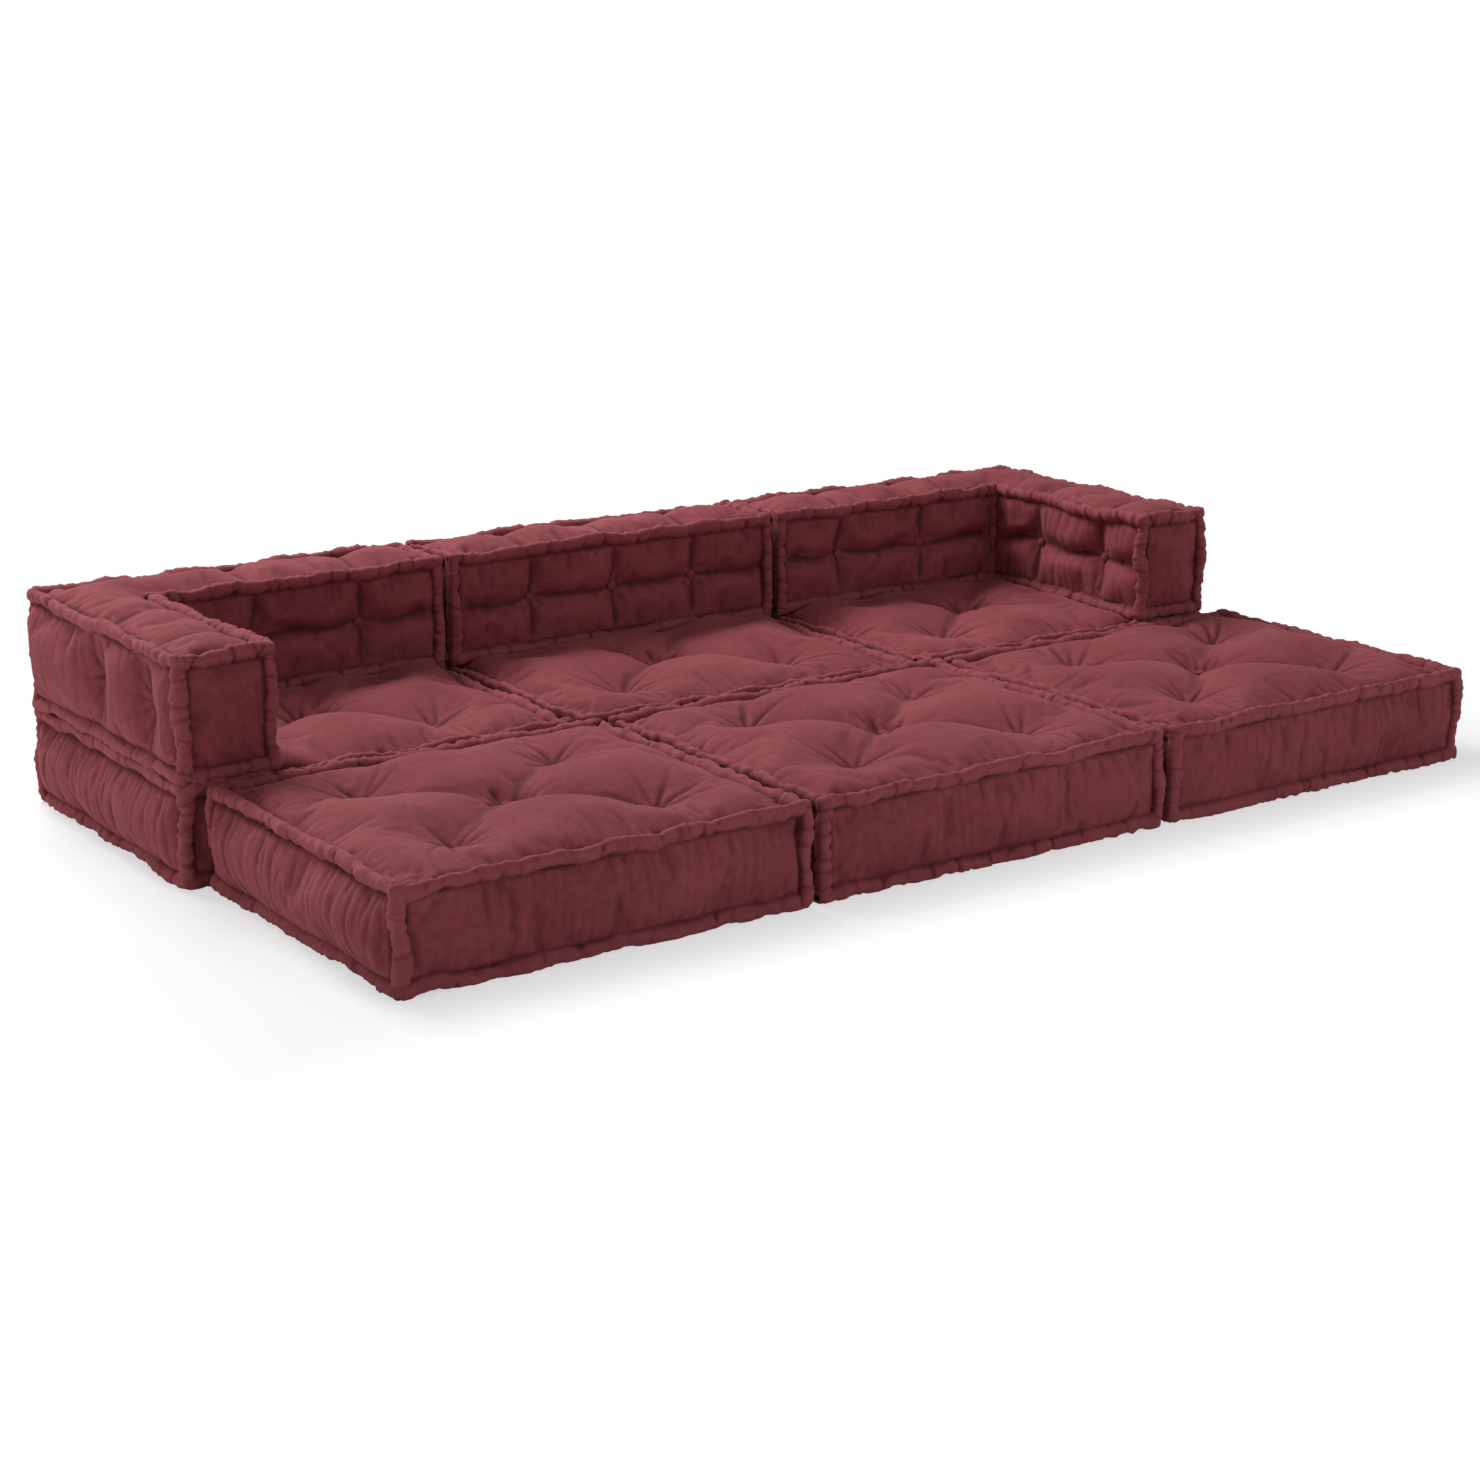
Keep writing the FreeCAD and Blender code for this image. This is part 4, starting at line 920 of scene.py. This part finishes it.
def cotton(name):
    """Washed cotton canvas, rubbed pale on ridges, with painted shade in folds, beside seams and in stitch
    bites, as its kept attribute says.
    """
    material = bpy.data.materials.new(name)
    tree = empty_tree(material)
    place = add_node(tree, "ShaderNodeTexCoord").outputs["Object"]
    fade = add_node(tree, "ShaderNodeTexNoise",
                    values={"Scale": NOISE_BUMP / FADE_SIZE, "Detail": 2.5, "Roughness": 0.5},
                    links={"Vector": place}).outputs["Fac"]
    slub = add_node(tree, "ShaderNodeTexNoise", values={"Scale": NOISE_BUMP / SLUB_SIZE, "Detail": 3.0},
                    links={"Vector": place}).outputs["Fac"]
    washed = add_node(tree, "ShaderNodeMapRange", values={1: 0.32, 2: 0.68}, links={0: fade}).outputs[0]
    colour = add_node(tree, "ShaderNodeMix", {"data_type": "RGBA"},
                      {6: linear(DYED), 7: linear(FADED)}, {0: washed}).outputs[2]
    ridge = add_node(tree, "ShaderNodeAttribute", {"attribute_name": "ridge"}).outputs["Fac"]
    # Painted shade darkens the colour where the attribute is below nought, in folds, beside seams and in
    # stitch bites; wear pales it above nought, on ridges.
    for end, most, tone in ((-1.0, 0.75, PAINTED_SHADE), (1.0, 0.55, WORN)):
        share = add_node(tree, "ShaderNodeMapRange", values={1: 0.0, 2: end, 4: most}, links={0: ridge})
        colour = add_node(tree, "ShaderNodeMix", {"data_type": "RGBA"}, {7: linear(tone)},
                          {0: share.outputs[0], 6: colour}).outputs[2]
    grain = add_node(tree, "ShaderNodeMapRange", values={1: 0.3, 2: 0.7, 3: 0.89, 4: 1.10},
                     links={0: slub}).outputs[0]
    colour = add_node(tree, "ShaderNodeVectorMath", {"operation": "SCALE"},
                      links={0: colour, "Scale": grain}).outputs[0]
    turns = add_node(tree, "ShaderNodeVectorMath", {"operation": "SCALE"}, {"Scale": math.pi / THREAD},
                     {0: place}).outputs[0]
    waves = add_node(tree, "ShaderNodeVectorMath", {"operation": "SINE"}, links={0: turns}).outputs[0]
    axes = add_node(tree, "ShaderNodeSeparateXYZ", links={0: waves}).outputs
    level_weave = add_node(tree, "ShaderNodeMath", {"operation": "MULTIPLY"},
                           links={0: axes[0], 1: axes[1]}).outputs[0]
    weave = add_node(tree, "ShaderNodeMath", {"operation": "MULTIPLY_ADD"},
                     links={0: axes[2], 1: axes[0], 2: level_weave}).outputs[0]
    yarn = add_node(tree, "ShaderNodeMath", {"operation": "MULTIPLY_ADD"}, {1: WEAVE_SHARE},
                    {0: weave, 2: slub}).outputs[0]
    bump = add_node(tree, "ShaderNodeBump", values={"Strength": 0.35, "Distance": NAP},
                    links={"Height": yarn})
    shader = add_node(tree, "ShaderNodeBsdfPrincipled",
                      values={"Roughness": 0.92, "Specular IOR Level": 0.2, "Sheen Weight": 0.15,
                              "Sheen Roughness": 0.5, "Sheen Tint": linear(FUZZ)},
                      links={"Base Color": colour, "Normal": bump.outputs[0]})
    add_node(tree, "ShaderNodeOutputMaterial", links={"Surface": shader.outputs[0]})
    return material


# The plain panels: matt, faded in patches, with painted shade in the folds.
COVER_COTTON = cotton("washed_cotton_canvas")
# The same cloth rolled tight: pale crests, and painted shade in the bites of the stitches.
ROLL_COTTON = cotton("rolled_cotton_edging")
# The same cloth over a button: even in colour, because nothing rubs it down in its hollow.
BUTTON_COTTON = cotton("cotton_covered_button")
print("cottons:", COVER_COTTON.name, ROLL_COTTON.name, BUTTON_COTTON.name)

# %% [markdown]
# Where cloth is rubbed pale depends on its shape, so each piece works it out from its own mesh. A vertex that
# stands out from its neighbours is on a crest and rubbed pale, and one that lies lower is in a fold, where
# shade is painted in. That is smoothed a little, painted shade is added in the strip beside every seam, and
# the painted shade of the stitches' bites is taken in.

# %% Rubbed ridges and painted shade in folds
WEAR_AND_SHADE_ROUNDS = 3
SEAM_SHADE, SEAM_SHADE_WIDTH = 2.3, 14 * MM


def mean_of_neighbours(values, ends):
    """The mean of the neighbours' values at each vertex, from the two ends of every edge."""
    total, count = np.zeros_like(values), np.zeros(len(values))
    for near, far in ((0, 1), (1, 0)):
        np.add.at(total, ends[:, near], values[ends[:, far]])
        np.add.at(count, ends[:, near], 1)
    return total / np.maximum(count, 1).reshape((-1,) + (1,) * (values.ndim - 1))


def paint_wear_and_shade(piece, scale):
    """Keeps how far each vertex stands out from its neighbours, from -1 in folds to 1 on ridges, with painted
    shade in folds, beside seams and in stitch bites.
    """
    points = points_of(piece)
    normals = read(piece.data.vertex_normals, "vector", 3).astype(float)
    ends = read(piece.data.edges, "vertices", 2, np.int32)
    out = ((points - mean_of_neighbours(points, ends)) * normals).sum(1)
    for _ in range(WEAR_AND_SHADE_ROUNDS):
        out = 0.5 * out + 0.5 * mean_of_neighbours(out, ends)
    ridge = np.clip(out / scale, -1, 1)
    # Painted shade in the strip beside every seam.
    if "gap" in piece.data.attributes:
        ridge = np.minimum(ridge, 1 - SEAM_SHADE * np.exp(-(kept(piece, "gap") / SEAM_SHADE_WIDTH) ** 4))
    # Painted shade of the stitches' bites and of the side of a roll that meets the seam.
    if "mark" in piece.data.attributes:
        ridge = np.minimum(ridge, kept(piece, "mark"))
    keep(piece, "ridge", ridge)


print("ridges are smoothed", WEAR_AND_SHADE_ROUNDS, "times")

# %% [markdown]
# Every master is copied to its places, some turned half round and some mirrored, so that no two
# neighbours match. A mirrored mesh is inside out, so its normals are flipped.

# %% Copies of the masters
PAD_MIDDLES = {}
for cushion in frame["bodies"]:
    if cushion.endswith("_pad"):
        corner, size = span_of(cushion + "_edge_rolls")
        PAD_MIDDLES[cushion] = (corner + size / 2) * np.array([1, 1, 0])


def copy_of(master, name, shift, half_turn, mirror):
    """A copy with its own mesh, turned or mirrored about its pad's middle, then moved."""
    select_only(master)
    bpy.ops.object.duplicate()
    piece = bpy.context.object
    piece.name = name
    piece.data.name = name
    points = points_of(piece)
    if half_turn:
        points[:, :2] *= -1
    if mirror:
        points[:, 0] *= -1
    set_points(piece, points + shift)
    if mirror:
        bpy.ops.object.mode_set(mode="EDIT")
        bpy.ops.mesh.select_all(action="SELECT")
        bpy.ops.mesh.flip_normals()
        bpy.ops.object.mode_set(mode="OBJECT")
    return piece


print("pads:", {name: middle.round(3).tolist() for name, middle in PAD_MIDDLES.items()})

# %% [markdown]
# Loose cushions press on each other. Each one has its own room: half of every gap to a neighbour, less a
# slit, and a free swell on the open sides. Its canvas settles into that room by flattening the swell past
# its seams, instead of being cut off flat. A rear pad also carries a back: there its top is pressed down
# flat, and the filling is pushed forward, so the canvas rises in a soft roll in front of the back.

# %% Room between the cushions
FREE_SWELL = 36 * MM
OVERLAP, NEIGHBOUR_GAP, TOUCH = 20 * MM, 30 * MM, 1 * MM
SIDE_SLIT, ROW_SLIT_SHARE = 8 * MM, 0.3
PRESS_SWELL, PRESS_RISE, PRESS_REACH = 26 * MM, 60 * MM, 50 * MM
PRESS_ROUND = 3.5 * MM
PUSHED_REACH, PUSHED_SEAM, PUSHED_SIZE = 75 * MM, 60 * MM, 150 * MM
DENT_SIZE = 90 * MM


def room_for(cushion, body_low, body_high):
    """The corners of the space that a cushion's canvas may fill."""
    low, high = body_low - FREE_SWELL, body_high + FREE_SWELL
    for other in frame["bodies"]:
        if other == cushion:
            continue
        other_low, other_size = span_of(other + "_edge_rolls")
        shared = np.minimum(body_high, other_low + other_size) - np.maximum(body_low, other_low)
        for axis in (0, 1):
            beside = shared[1 - axis] > OVERLAP and shared[2] > OVERLAP
            if beside and -NEIGHBOUR_GAP < shared[axis] <= TOUCH:
                gap = -shared[axis]
                share = gap / 2 - (SIDE_SLIT if axis == 0 else ROW_SLIT_SHARE * gap)
                if other_low[axis] > body_low[axis]:
                    high[axis] = body_high[axis] + share
                else:
                    low[axis] = body_low[axis] - share
    return low, high


def settled(points, low, high, room_low, room_high):
    """Flattens the swell past a cushion's seams until it fits its room."""
    for axis in (0, 1):
        for sign, seam, limit in (
                (1, high[axis] - SEAM_INSET, room_high[axis]),
                (-1, low[axis] + SEAM_INSET, room_low[axis])):
            past = sign * (points[:, axis] - seam)
            share = min(1, sign * (limit - seam) / past.max())
            points[:, axis] = np.where(past > 0, seam + sign * share * past, points[:, axis])
    return points


def press_under(points, cushion, middle, gap, up):
    """Presses a rear pad's top down under the back that rests on it, and fills it out in front."""
    local = points - middle
    ahead = (PAD_Y / 2 - BACK_Y) - local[:, 1]
    if "left" in cushion:
        ahead = np.minimum(ahead, local[:, 0] - (BACK_Y - PAD_X / 2))
    if "right" in cushion:
        ahead = np.minimum(ahead, (PAD_X / 2 - BACK_Y) - local[:, 0])
    close = bell(np.maximum(ahead, 0), PUSHED_REACH) * arch(gap, PUSHED_SEAM) * (up > FACES_SO)
    pushed = PAD_Z + PRESS_SWELL * (0.72 + 0.14 * uneven(points, PUSHED_SIZE, 5))
    points[:, 2] += close * (np.maximum(points[:, 2], pushed) - points[:, 2])
    rise = np.clip(ahead / PRESS_REACH, 0, 1)
    dents = np.maximum(0.4, 1.6 + 0.7 * uneven(points, DENT_SIZE, 6)) * MM
    ceiling = PAD_Z - dents + PRESS_RISE * rise ** 2 * (3 - 2 * rise)
    points[:, 2] = -PRESS_ROUND * np.logaddexp(-points[:, 2] / PRESS_ROUND, -ceiling / PRESS_ROUND)
    return points


print("free swell", round(FREE_SWELL / MM), "mm, slit beside a neighbour", round(SIDE_SLIT / MM), "mm")

# %% [markdown]
# Now each cushion is dressed: its cover, its rolls and its buttons are copied, settled into their room,
# given wear and painted shade, given their cotton, and tied to the cushion that they move with. The cover
# stands for the panels and the filling of the solid cushion, the rolls for its rolls, and the buttons for its
# ties.

# %% Dressing every cushion
# Each plan gives the cushion, its master, whether it is turned half round, and whether it is mirrored.
PLANS = [
    ("front_left_pad", "pad_a", False, False),
    ("front_middle_pad", "pad_b", False, False),
    ("front_right_pad", "pad_a", True, False),
    ("rear_left_pad", "pad_b", True, False),
    ("rear_middle_pad", "pad_a", False, True),
    ("rear_right_pad", "pad_b", False, True),
    ("left_corner_back", "corner", False, False),
    ("middle_back", "back", False, False),
    ("right_corner_back", "corner", False, True),
]
SEATS = {
    "left_corner_back": "rear_left_pad",
    "middle_back": "rear_middle_pad",
    "right_corner_back": "rear_right_pad",
}
COVERED = ("_top_panel", "_bottom_panel", "_side_panels", "_filling")
COVER_RIDGE, ROLL_RIDGE = 0.35 * MM, 0.16 * MM

for cushion, kind, half_turn, mirror in PLANS:
    is_pad = kind.startswith("pad")
    low, size = span_of(cushion + "_edge_rolls")
    middle = PAD_MIDDLES[cushion if is_pad else SEATS[cushion]]
    place = (middle + np.array([0, 0, low[2]]), half_turn, mirror)
    room_low, room_high = room_for(cushion, low, low + size)

    cover = copy_of(MASTERS[kind], cushion + "_cover", *place)
    points = settled(points_of(cover), low, low + size, room_low, room_high)
    if cushion in SEATS.values():
        points = press_under(points, cushion, middle, kept(cover, "gap"), kept(cover, "facing")[:, 2])
    set_points(cover, points)
    paint_wear_and_shade(cover, COVER_RIDGE)

    rolls_kind = kind.replace("pad_", "pad_rolls_") if is_pad else kind + "_rolls"
    rolls = copy_of(MASTERS[rolls_kind], cushion + "_rolls", *place)
    points = points_of(rolls)
    points[:, :2] = np.clip(points[:, :2], room_low[:2], room_high[:2])
    set_points(rolls, points)
    paint_wear_and_shade(rolls, ROLL_RIDGE)

    buttons_kind = "pad_buttons" if is_pad else kind + "_buttons"
    buttons = copy_of(MASTERS[buttons_kind], cushion + "_buttons", *place)
    for piece, material, slot in (
            (cover, COVER_COTTON, "cover_canvas"),
            (rolls, ROLL_COTTON, "edge_rolls"),
            (buttons, BUTTON_COTTON, "tuft_twine")):
        piece.data.materials.clear()
        piece.data.materials.append(material)
        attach(piece, cushion)
    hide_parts(*[cushion + part for part in COVERED])
    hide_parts(cushion + "_edge_rolls")
    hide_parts(cushion + "_tufts")
    print("dressed", cushion)

select_only(*MASTERS.values())
bpy.ops.object.delete()

# %% [markdown]
# The studio is plain: a floor of white paper and a white surround. Paper is matt and takes a soft shadow.
# To the camera both are plain white, without more light falling on the sofa, because a light path tells
# what is seen directly from what only lights. Near the sofa the paper shows more of its own shading, so
# that the shadow stays, and further out it fades into the white.

# %% Floor and surround
FLOOR_SIZE = 30
PAPER = "#F4F4F4"
SOFA_HALF = (1.08, 0.6, 1.0)
WHITE = (1, 1, 1, 1)
AMBIENT = 0.28


def seen_directly(tree):
    """A socket that is one for what the camera sees, also by reflection or through glass."""
    ray = add_node(tree, "ShaderNodeLightPath").outputs
    seen = ray["Is Camera Ray"]
    for other in ("Is Glossy Ray", "Is Transmission Ray"):
        either = add_node(tree, "ShaderNodeMath", {"operation": "MAXIMUM"}, links={0: seen, 1: ray[other]})
        seen = either.outputs[0]
    return seen


select_only()
bpy.ops.mesh.primitive_plane_add(size=FLOOR_SIZE, location=(0, 0, 0))
floor = bpy.context.object
floor.name = "studio_floor"
paper = bpy.data.materials.new("white_paper")
tree = empty_tree(paper)
matt = add_node(tree, "ShaderNodeBsdfDiffuse", values={"Color": linear(PAPER)})
white = add_node(tree, "ShaderNodeEmission", values={"Strength": 1.0})
where = add_node(tree, "ShaderNodeTexCoord").outputs["Object"]
sofa = add_node(tree, "ShaderNodeVectorMath", {"operation": "DIVIDE"}, {1: SOFA_HALF}, {0: where})
sofa = add_node(tree, "ShaderNodeVectorMath", {"operation": "ABSOLUTE"}, links={0: sofa.outputs[0]})
axes = add_node(tree, "ShaderNodeSeparateXYZ", links={0: sofa.outputs[0]}).outputs
away = add_node(tree, "ShaderNodeMath", {"operation": "MAXIMUM"}, links={0: axes[0], 1: axes[1]})
plain = add_node(tree, "ShaderNodeMapRange", {"interpolation_type": "SMOOTHSTEP"},
                 {1: 0.97, 2: 1.38, 3: 0.58, 4: 1.0}, {0: away.outputs[0]})
share = add_node(tree, "ShaderNodeMath", {"operation": "MULTIPLY"},
                 links={0: seen_directly(tree), 1: plain.outputs[0]})
mixed = add_node(tree, "ShaderNodeMixShader",
                 links={0: share.outputs[0], 1: matt.outputs[0], 2: white.outputs[0]})
add_node(tree, "ShaderNodeOutputMaterial", links={"Surface": mixed.outputs[0]})
floor.data.materials.append(paper)

world = bpy.data.worlds.new("studio")
bpy.context.scene.world = world
tree = empty_tree(world)
ambient = add_node(tree, "ShaderNodeBackground", values={"Color": WHITE, "Strength": AMBIENT})
white = add_node(tree, "ShaderNodeBackground", values={"Color": WHITE, "Strength": 1.0})
mixed = add_node(tree, "ShaderNodeMixShader",
                 links={0: seen_directly(tree), 1: ambient.outputs[0], 2: white.outputs[0]})
add_node(tree, "ShaderNodeOutputWorld", links={"Surface": mixed.outputs[0]})
print("floor:", floor.name, "of", paper.name, "in the", world.name)

# %% [markdown]
# Three large lamps light the cushions softly. The main one hangs above and behind, so the tops are
# brightest and the fronts lie in gentle shade. A low one at the rear left brings out the pleats of the
# left sides, and a weak one in front keeps the faces of the backs from going black.

# %% Lamps
# Each lamp has its place, the point that it faces, its size in metres and its power in watts.
LAMPS = {
    "overhead": ((-0.9, 2.5, 3.3), (0.0, 0.0, 0.1), 1.9, 174),
    "left_side": ((-3.5, 1.3, 0.8), (-0.4, 0.0, 0.1), 1.4, 17.5),
    "front_fill": ((1.2, -4.6, 1.5), (0.0, 0.0, 0.2), 2.4, 37),
}
for name, (place, target, size, power) in LAMPS.items():
    select_only()
    bpy.ops.object.light_add(type="AREA", location=place)
    lamp = bpy.context.object
    lamp.name = name
    lamp.data.size = size
    lamp.data.energy = power
    lamp.rotation_euler = (Vector(place) - Vector(target)).to_track_quat("Z", "Y").to_euler()
bpy.context.scene.view_settings.view_transform = "Standard"
